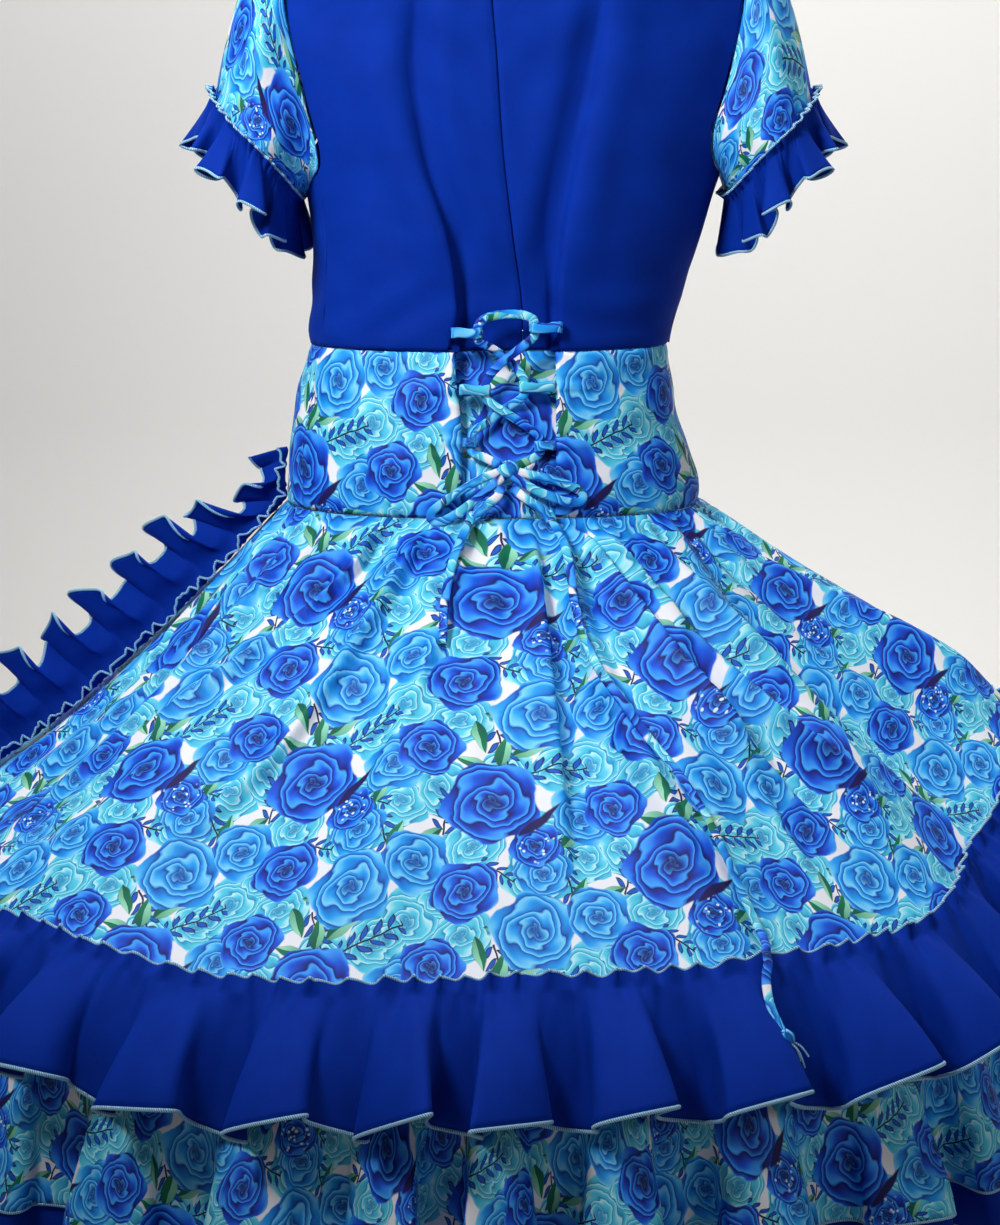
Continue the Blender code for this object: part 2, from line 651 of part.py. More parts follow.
def cloth_point(stop):
    """A point that lies on the yoke, the skirt or the first ruffle, lifted off the cloth."""
    if stop.down < 0.0:
        x, y = torso(HIP_Z + stop.down * (HIP_Z - WAIST_Z), stop.degrees)
        point = Vector((x, y, HIP_Z + stop.down * (HIP_Z - WAIST_Z)))
        normal = Vector((0.0, -1.0, 0.0))
        return point + normal * stop.lift
    point, normal, fall, side = skirt_frame(stop.degrees, min(stop.down, STITCH_AT))
    if stop.down > 1.0:
        far = (stop.down - 1.0) * RUFFLE_DEPTH
        slope = math.degrees(math.atan2(math.hypot(fall.x, fall.y), -fall.z))
        outwards, downwards = hanging(far, RUFFLE_DEPTH, slope + RUFFLE_KICK, RUFFLE_LEAN)
        level = Vector((fall.x, fall.y, 0.0)).normalized()
        point += level * outwards
        point.z -= downwards
    return point + normal * stop.lift


def smooth_route(stops, spacing):
    """Evenly spaced points on a smooth curve through the stops."""
    fine = []
    for low in range(len(stops) - 1):
        before, start = stops[max(low - 1, 0)], stops[low]
        end, after = stops[low + 1], stops[min(low + 2, len(stops) - 1)]
        for part in range(12):
            t = part / 12.0
            fine.append(
                0.5
                * (
                    2.0 * start
                    + (end - before) * t
                    + (2.0 * before - 5.0 * start + 4.0 * end - after) * t**2
                    + (3.0 * start - before - 3.0 * end + after) * t**3
                )
            )
    fine.append(stops[-1])
    total = sum((b - a).length for a, b in zip(fine, fine[1:]))
    count = max(2, round(total / spacing))
    route = [fine[0]]
    walked, wanted = 0.0, total / count
    for a, b in zip(fine, fine[1:]):
        step = (b - a).length
        while walked + step >= wanted and len(route) < count:
            route.append(a.lerp(b, (wanted - walked) / step))
            wanted += total / count
        walked += step
    route.append(fine[-1])
    return route


def make_material(name, finish):
    material = bpy.data.materials.new(name)
    material.use_nodes = True
    shader = material.node_tree.nodes["Principled BSDF"]
    shader.inputs["Base Color"].default_value = (*finish.colour, 1.0)
    shader.inputs["Roughness"].default_value = finish.roughness
    shader.inputs["Metallic"].default_value = 0.0
    return material


def add_object(name, data, finish):
    piece = bpy.data.objects.new(name, data)
    bpy.data.collections[COLLECTION].objects.link(piece)
    data.materials.append(make_material(name, finish))
    return piece


def add_panel(name, place, columns, rows, finish, wraps=False):
    """A wall of cloth: a grid moved to place(across, down) and given its thickness."""
    mesh_data = bpy.data.meshes.new(name)
    grid = bmesh.new()
    bmesh.ops.create_grid(grid, x_segments=columns, y_segments=rows, size=0.5)
    for corner in grid.verts:
        corner.co = place(corner.co.x + 0.5, corner.co.y + 0.5)
    if wraps:
        bmesh.ops.remove_doubles(grid, verts=grid.verts, dist=0.00005)
    grid.to_mesh(mesh_data)
    grid.free()
    mesh_data.shade_smooth()
    piece = add_object(name, mesh_data, finish)
    wall = piece.modifiers.new("wall", "SOLIDIFY")
    wall.thickness = WALL
    wall.offset = 0.0
    return piece


def add_lace(name, stops, spacing):
    """A round lace along a smooth curve, with closed ends."""
    route = smooth_route([Vector(stop) for stop in stops], spacing)
    curve = bpy.data.curves.new(name, "CURVE")
    curve.dimensions = "3D"
    curve.bevel_depth = LACE_RADIUS
    curve.bevel_resolution = 2
    curve.use_fill_caps = True
    spline = curve.splines.new("POLY")
    spline.points.add(len(route) - 1)
    for point, place in zip(spline.points, route):
        point.co = (*place, 1.0)
    return add_object(name, curve, PRINT)


def add_knot(name, place, size):
    """A small drawn-tight knot."""
    mesh_data = bpy.data.meshes.new(name)
    ball = bmesh.new()
    bmesh.ops.create_uvsphere(ball, u_segments=10, v_segments=7, radius=1.0)
    bmesh.ops.scale(ball, vec=Vector(size), verts=ball.verts)
    bmesh.ops.translate(ball, vec=Vector(place), verts=ball.verts)
    ball.to_mesh(mesh_data)
    ball.free()
    mesh_data.shade_smooth()
    return add_object(name, mesh_data, PRINT)


def tab_place(tab):
    """A flat loop of cloth that stands out sideways, with the lace through its end."""
    y = torso(tab.z, angle_of(tab.z, tab.start_x))[1]
    if tab.lies_on:
        y -= WALL + SEAM_GAP + TAB_HALF
    way = math.copysign(1.0, tab.end_x - tab.start_x)
    straight = abs(tab.end_x - tab.start_x) - 2.0 * TAB_HALF

    def place(around, up):
        turn = 2.0 * math.pi * around
        half = 0.5 * straight if math.cos(turn) > 0.0 else -0.5 * straight
        reach = TAB_HALF + 0.5 * straight + half + TAB_HALF * math.cos(turn)
        z = tab.z + TAB_WIDTH * (up - 0.5)
        return Vector((tab.start_x + way * reach, y - TAB_HALF * math.sin(turn), z))

    return place


def add_lacing():
    for tab in TABS:
        add_panel(f"tab_{tab.side}_{tab.number}", tab_place(tab), 10, 1, PRINT, True)
    add_lace("lace", LACING, 0.5 * LACE_STEP)
    add_lace("bow_loop_left", BOW_LEFT, LACE_STEP)
    add_lace("bow_loop_right", BOW_RIGHT, LACE_STEP)
    add_lace("tail_short", [cloth_point(stop) for stop in SHORT_TAIL], LACE_STEP)
    add_lace("tail_long", [cloth_point(stop) for stop in LONG_TAIL], LACE_STEP)
    add_knot("bow_knot", KNOT_AT, KNOT_SIZE)
    add_knot("tail_knot", cloth_point(END_KNOT), END_KNOT_SIZE)


def add_torso():
    for sign, side in ((-1.0, "left"), (1.0, "right")):
        add_panel(f"back_bodice_{side}", lambda u, v, s=sign: bodice_back(s, u, v), 10, 11, BLUE)
    add_panel("front_bodice", bodice_front, 16, 10, BLUE)


def add_yoke():
    add_panel("yoke_back_left", yoke_panel(None, "left_x", LEFT_SEAM, None), 6, 4, PRINT)
    add_panel("yoke_back_right", yoke_panel("right_x", None, None, RIGHT_SEAM), 6, 4, PRINT)
    front = yoke_panel(None, None, RIGHT_SEAM + SIDE_GAP, LEFT_SEAM + 360.0 - SIDE_GAP)
    add_panel("yoke_front", front, 12, 3, PRINT)
    add_panel("yoke_centre", yoke_centre, 4, 4, PRINT)


def with_narrow_ends(across, columns):
    """Spaces a grid's columns evenly but for a narrow one at each end, so that seams run parallel."""
    place = across * columns
    if place < 1.0:
        return place * NARROW
    if place > columns - 1.0:
        return 1.0 - (columns - place) * NARROW
    return NARROW + (place - 1.0) / (columns - 2.0) * (1.0 - 2.0 * NARROW)


def add_ring_strip(name, place, start, columns, rows, low, high, finish):
    """A quarter of a ring between two distances from its seam."""

    def strip(across, down):
        share = with_narrow_ends(across, columns + 2)
        degrees = lerp(start + STRIP_GAP, start + 90.0 - STRIP_GAP, share)
        return place(degrees, lerp(low, high, down))

    add_panel(name, strip, columns + 2, rows, finish)


QUARTERS = (("back_left", -90.0), ("back_right", 0.0), ("front_right", 90.0), ("front_left", 180.0))


def skirt_row(degrees, share):
    """The skirt at a share of its rows, which lie closer together near the ruffle seam."""
    place = min(share * (len(SKIRT_ROWS) - 1), len(SKIRT_ROWS) - 1.001)
    low = int(place)
    return skirt(degrees, lerp(SKIRT_ROWS[low], SKIRT_ROWS[low + 1], place - low))


def add_skirt():
    rows = len(SKIRT_ROWS) - 1
    for name, start in QUARTERS:
        add_ring_strip(f"skirt_{name}", skirt_row, start, 18, rows, 0.0, 1.0, PRINT)


def ruffle_rows(place, low, high, rows):
    """A gathered strip: one row above its stitching line and the others below it."""
    top = 1.0 / rows

    def strip(along, share):
        if share < top:
            return place(along, low * (1.0 - share / top))
        return place(along, high * (share - top) / (1.0 - top))

    return strip


def add_ring_ruffles():
    for name, start in QUARTERS:
        ruffle = ruffle_rows(ring_ruffle, -RUFFLE_HEADING, RUFFLE_DEPTH, 3)
        add_ring_strip(f"ruffle_{name}", ruffle, start, RUFFLE_WAVES, 3, 0.0, 1.0, BLUE)
        add_ring_strip(
            f"flounce_{name}", flounce, start, FLOUNCE_WAVES, 3, 0.0, FLOUNCE_DEPTH, PRINT
        )
        add_ring_strip(
            f"hem_flounce_{name}", hem_flounce, start, FLOUNCE_WAVES, 2, 0.0, 1.0, BLUE
        )


def add_sleeve(sign, side):
    def ruffle(around, far):
        return sleeve_ruffle(sign, (-sign * around) % 1.0, far)

    def arm(around, down):
        return sleeve(sign, (-sign * around) % 1.0, down)

    rows = ruffle_rows(ruffle, -SLEEVE_HEADING, SLEEVE_DEPTH, 2)
    add_panel(f"sleeve_{side}", arm, 26, 4, PRINT, True)
    add_panel(f"sleeve_ruffle_{side}", rows, 4 * SLEEVE_WAVES, 2, BLUE, True)


def add_side_ruffle():
    rows = ruffle_rows(side_ruffle, -SIDE_HEADING, SIDE_DEPTH, 3)
    add_panel("side_ruffle", rows, 4 * SIDE_WAVES, 3, BLUE)


def clear_scene():
    for item in list(bpy.data.objects):
        bpy.data.objects.remove(item, do_unlink=True)


def main():
    clear_scene()
    collection = bpy.data.collections.new(COLLECTION)
    bpy.context.scene.collection.children.link(collection)
    add_torso()
    add_yoke()
    add_skirt()
    add_ring_ruffles()
    add_sleeve(-1.0, "left")
    add_sleeve(1.0, "right")
    add_side_ruffle()
    add_lacing()


main()
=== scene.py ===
"""Cueca dress, seen from behind: a plain blue bodice, a laced rose print yoke, a full rose print
skirt, and gathered ruffles with a light blue overlocked edge.

Metres, +Z up, back towards -Y, origin at the middle of the shoulder line. Angles go round the body
from the centre back, positive towards +X. Each piece of cloth is a thin shell on the form of the
solid that it stands for, with the smaller folds, gathers and creases added here.
"""

from __future__ import annotations

import json
import logging
import math
from dataclasses import dataclass
from enum import Enum
from typing import Any, Sequence

import bmesh
import bpy
import numpy as np
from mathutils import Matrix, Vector

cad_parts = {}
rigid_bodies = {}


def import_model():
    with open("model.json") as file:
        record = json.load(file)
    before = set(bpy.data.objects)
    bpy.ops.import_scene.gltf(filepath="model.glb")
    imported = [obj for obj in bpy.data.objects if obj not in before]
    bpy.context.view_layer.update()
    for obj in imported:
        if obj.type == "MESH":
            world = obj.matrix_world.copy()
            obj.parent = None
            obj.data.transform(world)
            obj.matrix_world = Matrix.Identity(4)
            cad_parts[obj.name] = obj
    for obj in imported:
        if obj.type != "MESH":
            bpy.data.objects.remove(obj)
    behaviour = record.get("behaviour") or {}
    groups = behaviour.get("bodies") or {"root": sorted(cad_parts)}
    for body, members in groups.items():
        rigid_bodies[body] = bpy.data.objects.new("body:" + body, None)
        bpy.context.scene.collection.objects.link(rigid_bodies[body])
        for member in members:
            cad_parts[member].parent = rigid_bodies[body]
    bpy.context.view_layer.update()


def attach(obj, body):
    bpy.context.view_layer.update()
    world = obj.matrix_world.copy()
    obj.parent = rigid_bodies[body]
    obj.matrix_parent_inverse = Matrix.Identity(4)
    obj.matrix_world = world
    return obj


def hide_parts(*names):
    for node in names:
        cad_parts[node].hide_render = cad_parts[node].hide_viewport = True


LOG = logging.getLogger("cueca_dress")

CLOTH = 0.0008
TAB_CLOTH = 0.001
SEAM_GAP = 0.0004
SIDE_GAP = 0.3
SHOULDER_SEAM = 0.0011
WAIST_Z = -0.4
HIP_Z = -0.533
SHOULDER_Z = -0.04
UNDERARM_Z = -0.262
NECK_HALF = 0.075
SHOULDER_HALF = 0.1845
BACK_NECK_DROP = 0.022
FRONT_NECK_DROP = 0.085
BACK_NECK_Y = -0.058
FRONT_NECK_Y = 0.072
ROUND_FROM_Z = -0.135
AXIS_X = -0.0195
ROUNDNESS = 2.3
LEFT_SEAM = -64.0
RIGHT_SEAM = 84.0
BACK_EDGE = 57.0
FRONT_EDGE = 124.0
ARMHOLE_CURVE = 0.045
RUFFLE_HEADING = 0.012
RUFFLE_DEPTH = 0.098
RUFFLE_WAVES = 36
RUFFLE_LEAN = 24.0
RUFFLE_KICK = 2.0
STITCHED = 0.0026
STITCH_AT = 0.996
FLOUNCE_DEPTH = 0.19
FLOUNCE_WAVES = 32
FLOUNCE_TOP_LEAN = 15.0
FLOUNCE_LEAN = 12.0
HEM_SHOWS = 0.037
SLEEVE_HEADING = 0.007
SLEEVE_DEPTH = 0.04
SLEEVE_WAVES = 12
SIDE_HEADING = 0.012
SIDE_DEPTH = 0.06
SIDE_CUT = 0.052
BODICE_LENGTH = 0.4
YOKE_LENGTH = 0.133
SIDE_WAVES = 11
SIDE_AT = -92.0
SIDE_TOP = -0.11
SIDE_END = 0.93
SIDE_TURNED = 0.22
SLEEVE_ARM = (0.175, -0.15)
SLEEVE_HEM = (0.212, -0.243)
SLEEVE_TILT = (0.033, 0.039)
SLEEVE_HALF_DEPTH = 0.086
SLEEVE_STITCH_AT = 0.97
THREAD_RADIUS = 0.0013

BACKWARDS = np.array((0.0, -1.0, 0.0))
QUARTERS = ("back_left", "back_right", "front_right", "front_left")
Grid = np.ndarray
Value = float | Grid
Colour = tuple[float, float, float, float]
Socket = bpy.types.NodeSocket
Tree = bpy.types.NodeTree


def lerp(a: Value, b: Value, t: Value) -> Value:
    """A value between a and b."""
    return a + (b - a) * t


def ease(t: Value) -> Grid:
    """A smooth step from 0 to 1 while t goes from 0 to 1."""
    t = np.clip(t, 0.0, 1.0)
    return t * t * (3.0 - 2.0 * t)


def bell(x: Value, width: Value) -> Value:
    """A soft bump one high at 0."""
    return np.exp(-((x / width) ** 2))


def turned(degrees: Value) -> Value:
    """An angle brought between -180 and 180."""
    return (degrees + 180.0) % 360.0 - 180.0


def vec(x: Value, y: Value, z: Value) -> Grid:
    """Stacks coordinates into points."""
    return np.stack(np.broadcast_arrays(x, y, z), axis=-1).astype(float)


def unit(v: Grid) -> Grid:
    """Vectors at length one."""
    return v / np.maximum(np.linalg.norm(v, axis=-1, keepdims=True), 1e-9)


def out_of(degrees: Value) -> Grid:
    """The level direction away from the body's axis."""
    turn = np.radians(degrees)
    return vec(np.sin(turn), -np.cos(turn), 0.0)


class Table:
    """Rows of named columns, read with smooth curves between the rows."""

    def __init__(self, columns: str, rows: Sequence[Sequence[float]], closed: bool = False) -> None:
        """Keeps the rows; a closed table's first column goes round in degrees."""
        self.columns = columns.split()
        table = np.array(rows, float)
        self.closed = closed
        if closed:
            lap = np.zeros(table.shape[1])
            lap[0] = 360.0
            table = np.vstack([table[-2] - lap, table, table[1] + lap])
        self.rows = table

    def read(self, column: str, at: Value) -> Grid:
        """A column's value at places along the first column."""
        keys = self.rows[:, 0]
        values = self.rows[:, self.columns.index(column)]
        last = len(keys) - 1
        at = turned(at) if self.closed else np.clip(at, keys[0], keys[-1])
        low = np.clip(np.searchsorted(keys, at, side="right") - 1, 0, last - 1)
        before, after = np.maximum(low - 1, 0), np.minimum(low + 2, last)
        x0, x1, x2, x3 = keys[before], keys[low], keys[low + 1], keys[after]
        y0, y1, y2, y3 = values[before], values[low], values[low + 1], values[after]
        t = (at - x1) / (x2 - x1)
        start = (y2 - y0) / (x2 - x0) * (x2 - x1)
        end = (y3 - y1) / (x3 - x1) * (x2 - x1)
        return (
            (2 * t**3 - 3 * t**2 + 1) * y1
            + (t**3 - 2 * t**2 + t) * start
            + (3 * t**2 - 2 * t**3) * y2
            + (t**3 - t**2) * end
        )


TORSO = Table(
    "z centre_x half_width back front",
    [
        (-0.535, -0.0165, 0.1725, 0.113, 0.118), (-0.507, -0.018, 0.171, 0.112, 0.118),
        (-0.47, -0.023, 0.162, 0.108, 0.117), (-0.44, -0.0235, 0.156, 0.104, 0.115),
        (-0.4, -0.0205, 0.15, 0.1, 0.112), (-0.355, -0.013, 0.1545, 0.104, 0.118),
        (-0.31, -0.006, 0.16, 0.109, 0.125), (-0.262, -0.0025, 0.171, 0.11, 0.129),
        (-0.22, -0.001, 0.188, 0.109, 0.127), (-0.18, 0.0, 0.2, 0.106, 0.118),
        (-0.12, 0.0, 0.213, 0.097, 0.1), (-0.06, 0.0, 0.215, 0.08, 0.082),
        (-0.04, 0.0, 0.215, 0.072, 0.076),
    ],
)
RECESS = Table(
    "z seam_x left_x right_x depth",
    [
        (-0.535, 0.0, -0.044, 0.034, 0.002), (-0.47, 0.002, -0.042, 0.034, 0.011),
        (-0.4, 0.0065, -0.048, 0.034, 0.015), (-0.366, 0.0065, -0.043, 0.033, 0.014),
        (-0.31, -0.001, -0.049, 0.034, 0.0105), (-0.25, -0.0085, -0.07, 0.046, 0.0065),
        (-0.18, -0.0135, -0.082, 0.062, 0.003), (-0.12, -0.0175, -0.08, 0.072, 0.0),
        (-0.04, -0.01, -0.075, 0.075, 0.0),
    ],
)
RING = Table(
    "degrees radius z sag",
    [
        (-180.0, 0.46, -0.8, 0.01), (-135.0, 0.49, -0.812, 0.018), (-90.0, 0.52, -0.826, 0.026),
        (-45.0, 0.49, -0.814, 0.014), (-24.0, 0.476, -0.831, 0.004), (0.0, 0.462, -0.824, 0.0),
        (45.0, 0.47, -0.815, 0.0), (61.0, 0.44, -0.788, 0.0), (90.0, 0.466, -0.724, 0.0),
        (135.0, 0.472, -0.77, 0.006), (180.0, 0.46, -0.8, 0.01),
    ],
    closed=True,
)


@dataclass(frozen=True)
class Fold:
    """A soft fold of the skirt, from an angle at the hip to one at the ruffle; troughs are below 0."""

    top_deg: float
    low_deg: float
    width_deg: float
    depth: float
    starts: float
    grows: float
    ends: float
    steep: float = 1.0

    def height(self, degrees: Value, down: Value) -> Grid:
        """How far the fold lifts the cloth.

        Args:
            degrees: Angles round the skirt.
            down: Shares of the way down it.

        Returns:
            Heights off the plain form, in metres.
        """
        off = turned(degrees - lerp(self.top_deg, self.low_deg, down))
        width = np.where(off > 0.0, self.width_deg * self.steep, self.width_deg)
        grown = ease((down - self.starts) / (self.grows - self.starts))
        gone = 1.0 - ease((down - self.ends + 0.4) / 0.4)
        return self.depth * grown * gone * bell(off, width)


FOLDS = tuple(
    Fold(*row)
    for row in (
        (-168.0, -170.0, 11.0, 0.016, 0.1, 0.6, 1.4), (-140.0, -146.0, 10.0, -0.015, 0.05, 0.6, 1.4),
        (-118.0, -121.0, 9.0, 0.014, 0.1, 0.6, 1.4), (-66.0, -68.0, 8.0, -0.012, 0.05, 0.5, 1.2),
        (-46.0, -50.0, 7.0, 0.011, 0.2, 0.6, 1.4), (-22.0, -92.0, 5.0, -0.009, 0.0, 0.12, 0.46),
        (-20.0, -30.0, 6.0, -0.011, 0.15, 0.6, 1.2), (-6.0, -12.0, 5.0, 0.009, 0.2, 0.7, 1.4),
        (12.5, 13.5, 4.5, -0.013, 0.05, 0.4, 0.95), (20.0, 24.0, 5.0, 0.01, 0.1, 0.6, 1.4),
        (24.0, 70.0, 4.6, -0.017, 0.02, 0.22, 0.66), (34.0, 42.0, 6.0, -0.009, 0.3, 0.7, 1.2),
        (44.0, 54.0, 6.0, 0.01, 0.1, 0.6, 1.4), (50.0, 68.0, 5.5, -0.013, 0.05, 0.5, 1.2),
        (78.0, 84.0, 9.0, 0.012, 0.1, 0.6, 1.4), (106.0, 108.0, 9.0, -0.014, 0.05, 0.6, 1.4),
        (128.0, 132.0, 9.0, 0.014, 0.1, 0.6, 1.4), (158.0, 160.0, 10.0, -0.015, 0.05, 0.6, 1.4),
    )
)

# Sharper creases that the solids leave out: they fan out of the lacing and the hip seam
CREASES = tuple(
    Fold(*row)
    for row in (
        (-14.0, -44.0, 2.4, 0.0075, 0.0, 0.08, 0.85, 0.4),
        (-26.0, -78.0, 2.4, 0.0085, 0.0, 0.06, 0.66, 0.4), (-34.0, -58.0, 2.6, -0.004, 0.02, 0.2, 0.9),
        (-52.0, -64.0, 2.4, 0.005, 0.02, 0.2, 1.0, 0.5), (-58.0, -84.0, 2.2, 0.005, 0.0, 0.1, 0.8, 0.6),
        (-76.0, -82.0, 2.6, -0.004, 0.05, 0.3, 1.1), (-4.0, -20.0, 1.6, 0.0035, 0.0, 0.1, 0.7, 0.5),
        (3.0, -2.0, 1.8, -0.004, 0.0, 0.1, 0.8), (8.0, 8.0, 2.2, 0.0075, 0.0, 0.15, 0.95, 0.35),
        (14.0, 24.0, 2.4, 0.0085, 0.0, 0.1, 1.05, 0.35), (19.0, 48.0, 2.4, 0.011, 0.0, 0.1, 0.9, 0.28),
        (23.0, 62.0, 2.6, 0.0125, 0.0, 0.1, 0.8, 0.28), (30.0, 36.0, 2.2, 0.0045, 0.1, 0.4, 1.2, 0.5),
        (40.0, 64.0, 2.4, 0.005, 0.0, 0.2, 1.0, 0.45), (60.0, 78.0, 2.6, -0.0045, 0.0, 0.2, 1.1),
        (72.0, 90.0, 2.6, 0.005, 0.02, 0.3, 1.1, 0.5), (94.0, 98.0, 3.0, -0.0045, 0.05, 0.3, 1.1),
        (112.0, 120.0, 2.8, 0.005, 0.03, 0.25, 1.1, 0.5), (136.0, 140.0, 3.0, -0.0045, 0.05, 0.3, 1.0),
        (146.0, 152.0, 2.6, 0.0045, 0.02, 0.25, 1.1, 0.5),
        (170.0, 172.0, 3.0, 0.0045, 0.05, 0.3, 1.0, 0.6), (-178.0, -176.0, 2.6, -0.004, 0.05, 0.3, 1.1),
        (-154.0, -158.0, 2.8, 0.005, 0.02, 0.25, 1.1, 0.5),
        (-128.0, -132.0, 3.0, -0.0045, 0.05, 0.3, 1.0),
        (-106.0, -110.0, 2.8, 0.005, 0.03, 0.3, 1.1, 0.5),
    )
)


class Form:
    """The dress's form: the same functions as the solids', for whole grids at a time."""

    @staticmethod
    def _power(value: Value, power: float) -> Grid:
        """A power that keeps the sign."""
        return np.copysign(np.abs(value) ** power, value)

    @classmethod
    def torso(cls, z: Value, degrees: Value) -> tuple[Grid, Grid]:
        """The body at a height and an angle, as x and y."""
        turn = np.radians(degrees)
        back, front = TORSO.read("back", z), TORSO.read("front", z)
        depth = np.where(np.cos(turn) > 0.0, back, front)
        across = cls._power(np.sin(turn), 2.0 / ROUNDNESS)
        x = TORSO.read("centre_x", z) + TORSO.read("half_width", z) * across
        return x, -depth * cls._power(np.cos(turn), 2.0 / ROUNDNESS)

    @classmethod
    def angle_of(cls, z: Value, x: Value) -> Grid:
        """The angle, on the back half, at which the body has a given x."""
        share = (x - TORSO.read("centre_x", z)) / TORSO.read("half_width", z)
        share = np.clip(share, -1.0, 1.0)
        return np.degrees(np.arcsin(cls._power(share, ROUNDNESS / 2.0)))

    @staticmethod
    def recess_step(z: Value) -> Grid:
        """The width of the step down into the laced centre."""
        return lerp(0.007, 0.03, ease((z - WAIST_Z) / 0.2))

    @classmethod
    def recess(cls, z: Value, x: Value) -> Grid:
        """How far the laced centre lies inside the body's form."""
        step = cls.recess_step(z)
        left = ease((x - RECESS.read("left_x", z)) / step + 0.5)
        right = ease((RECESS.read("right_x", z) - x) / step + 0.5)
        return RECESS.read("depth", z) * np.minimum(left, right)

    @staticmethod
    def armhole(z: Value, seam: float, edge: float) -> Grid:
        """The angle of a bodice edge: side seam below the underarm, armhole above it."""
        climb = np.clip((z - UNDERARM_Z) / ARMHOLE_CURVE, 0.0, 1.0)
        return lerp(seam, edge, np.sqrt(climb * (2.0 - climb)))

    @staticmethod
    def top_of(x: Value, drop: float) -> Grid:
        """The height of the neckline or the shoulder seam above a given x."""
        across = np.abs(x)
        neck = -drop * np.sqrt(np.maximum(0.0, 1.0 - (across / NECK_HALF) ** 2))
        shoulder = SHOULDER_Z * (across - NECK_HALF) / (SHOULDER_HALF - NECK_HALF)
        return np.where(across < NECK_HALF, neck, shoulder)

    @staticmethod
    def rounded(x: Grid, y_body: Grid, z: Grid, side: float) -> Grid:
        """Draws the body in to the neckline and the shoulder seam near the top."""
        rise = np.clip((z - ROUND_FROM_Z) / (SHOULDER_Z - ROUND_FROM_Z), 0.0, 1.0)
        neck = BACK_NECK_Y if side < 0 else FRONT_NECK_Y
        y_top = side * SHOULDER_SEAM
        y_top = y_top + neck * np.sqrt(np.maximum(0.0, 1.0 - (x / NECK_HALF) ** 2))
        return y_top + (y_body - y_top) * np.sqrt(1.0 - rise * rise)

    @classmethod
    def bodice_back(cls, sign: float, across: Value, up: Value) -> Grid:
        """One half of the back bodice, from the centre seam out and the waist up."""
        across, up = np.broadcast_arrays(np.asarray(across, float), np.asarray(up, float))
        z = lerp(WAIST_Z + SEAM_GAP, SHOULDER_Z, up)
        fold_x = RECESS.read("left_x" if sign < 0 else "right_x", z)
        half = 0.5 * cls.recess_step(z) * (1.0 - ease((z + 0.2) / 0.1))
        side = LEFT_SEAM if sign < 0 else RIGHT_SEAM
        stops = (
            cls.angle_of(z, RECESS.read("seam_x", z) + sign * SEAM_GAP),
            cls.angle_of(z, fold_x - sign * half),
            cls.angle_of(z, fold_x + sign * (half + 0.0005)),
            cls.armhole(z, side, sign * BACK_EDGE),
        )
        degrees = np.where(
            across < 0.3,
            lerp(stops[0], stops[1], across / 0.3),
            np.where(
                across < 0.4,
                lerp(stops[1], stops[2], (across - 0.3) / 0.1),
                lerp(stops[2], stops[3], (across - 0.4) / 0.6),
            ),
        )
        x, y = cls.torso(z, degrees)
        y = cls.rounded(x, y + cls.recess(z, x), z, -1.0)
        return vec(x, y, lerp(WAIST_Z + SEAM_GAP, cls.top_of(x, BACK_NECK_DROP), up))

    @classmethod
    def bodice_front(cls, across: Value, up: Value) -> Grid:
        """The front bodice, from the wearer's right seam round to the left one."""
        across, up = np.broadcast_arrays(np.asarray(across, float), np.asarray(up, float))
        z = lerp(WAIST_Z + SEAM_GAP, SHOULDER_Z, up)
        right = cls.armhole(z, RIGHT_SEAM + SIDE_GAP, FRONT_EDGE)
        left = cls.armhole(z, LEFT_SEAM - SIDE_GAP, -FRONT_EDGE) + 360.0
        side = np.where(across < 0.5, right, left)
        x, y = cls.torso(z, lerp(180.0, side, np.abs(2.0 * across - 1.0)))
        y = cls.rounded(x, y, z, 1.0)
        return vec(x, y, lerp(WAIST_Z + SEAM_GAP, cls.top_of(x, FRONT_NECK_DROP), up))

    @classmethod
    def yoke(cls, degrees: Value, down: Value) -> Grid:
        """The hip yoke, from the waist seam down to the hip seam."""
        z = lerp(WAIST_Z - SEAM_GAP, HIP_Z + SEAM_GAP, down)
        x, y = cls.torso(z, degrees)
        return vec(x, y, z)

    @classmethod
    def skirt(cls, degrees: Value, down: Value) -> Grid:
        """The skirt, from the hip seam down to the ruffle seam."""
        degrees, down = np.broadcast_arrays(np.asarray(degrees, float), np.asarray(down, float))
        x, y = cls.torso(np.full_like(degrees, HIP_Z - SEAM_GAP), degrees)
        top = vec(x, y, HIP_Z - SEAM_GAP)
        low = out_of(degrees) * RING.read("radius", degrees)[..., None]
        low += vec(AXIS_X, 0.0, RING.read("z", degrees))
        point = lerp(top, low, down[..., None])
        point[..., 2] -= RING.read("sag", degrees) * np.sin(math.pi * down)
        lift = sum(fold.height(degrees, down) for fold in FOLDS)
        lift = lift * (1.0 - 0.8 * ease((down - 0.68) / 0.32))
        turn = np.radians(degrees)
        across = vec(np.cos(turn), np.sin(turn), 0.0)
        return point - np.cross(across, unit(low - top)) * lift[..., None]

    @classmethod
    def skirt_frame(cls, degrees: Value, down: Value) -> tuple[Grid, ...]:
        """The skirt's point, its outward normal, its downward and its sideways direction."""
        point = cls.skirt(degrees, down)
        side = unit(cls.skirt(degrees + 0.5, down) - cls.skirt(degrees - 0.5, down))
        fall = unit(cls.skirt(degrees, down + 0.01) - cls.skirt(degrees, down - 0.01))
        return point, unit(np.cross(fall, side)), fall, side

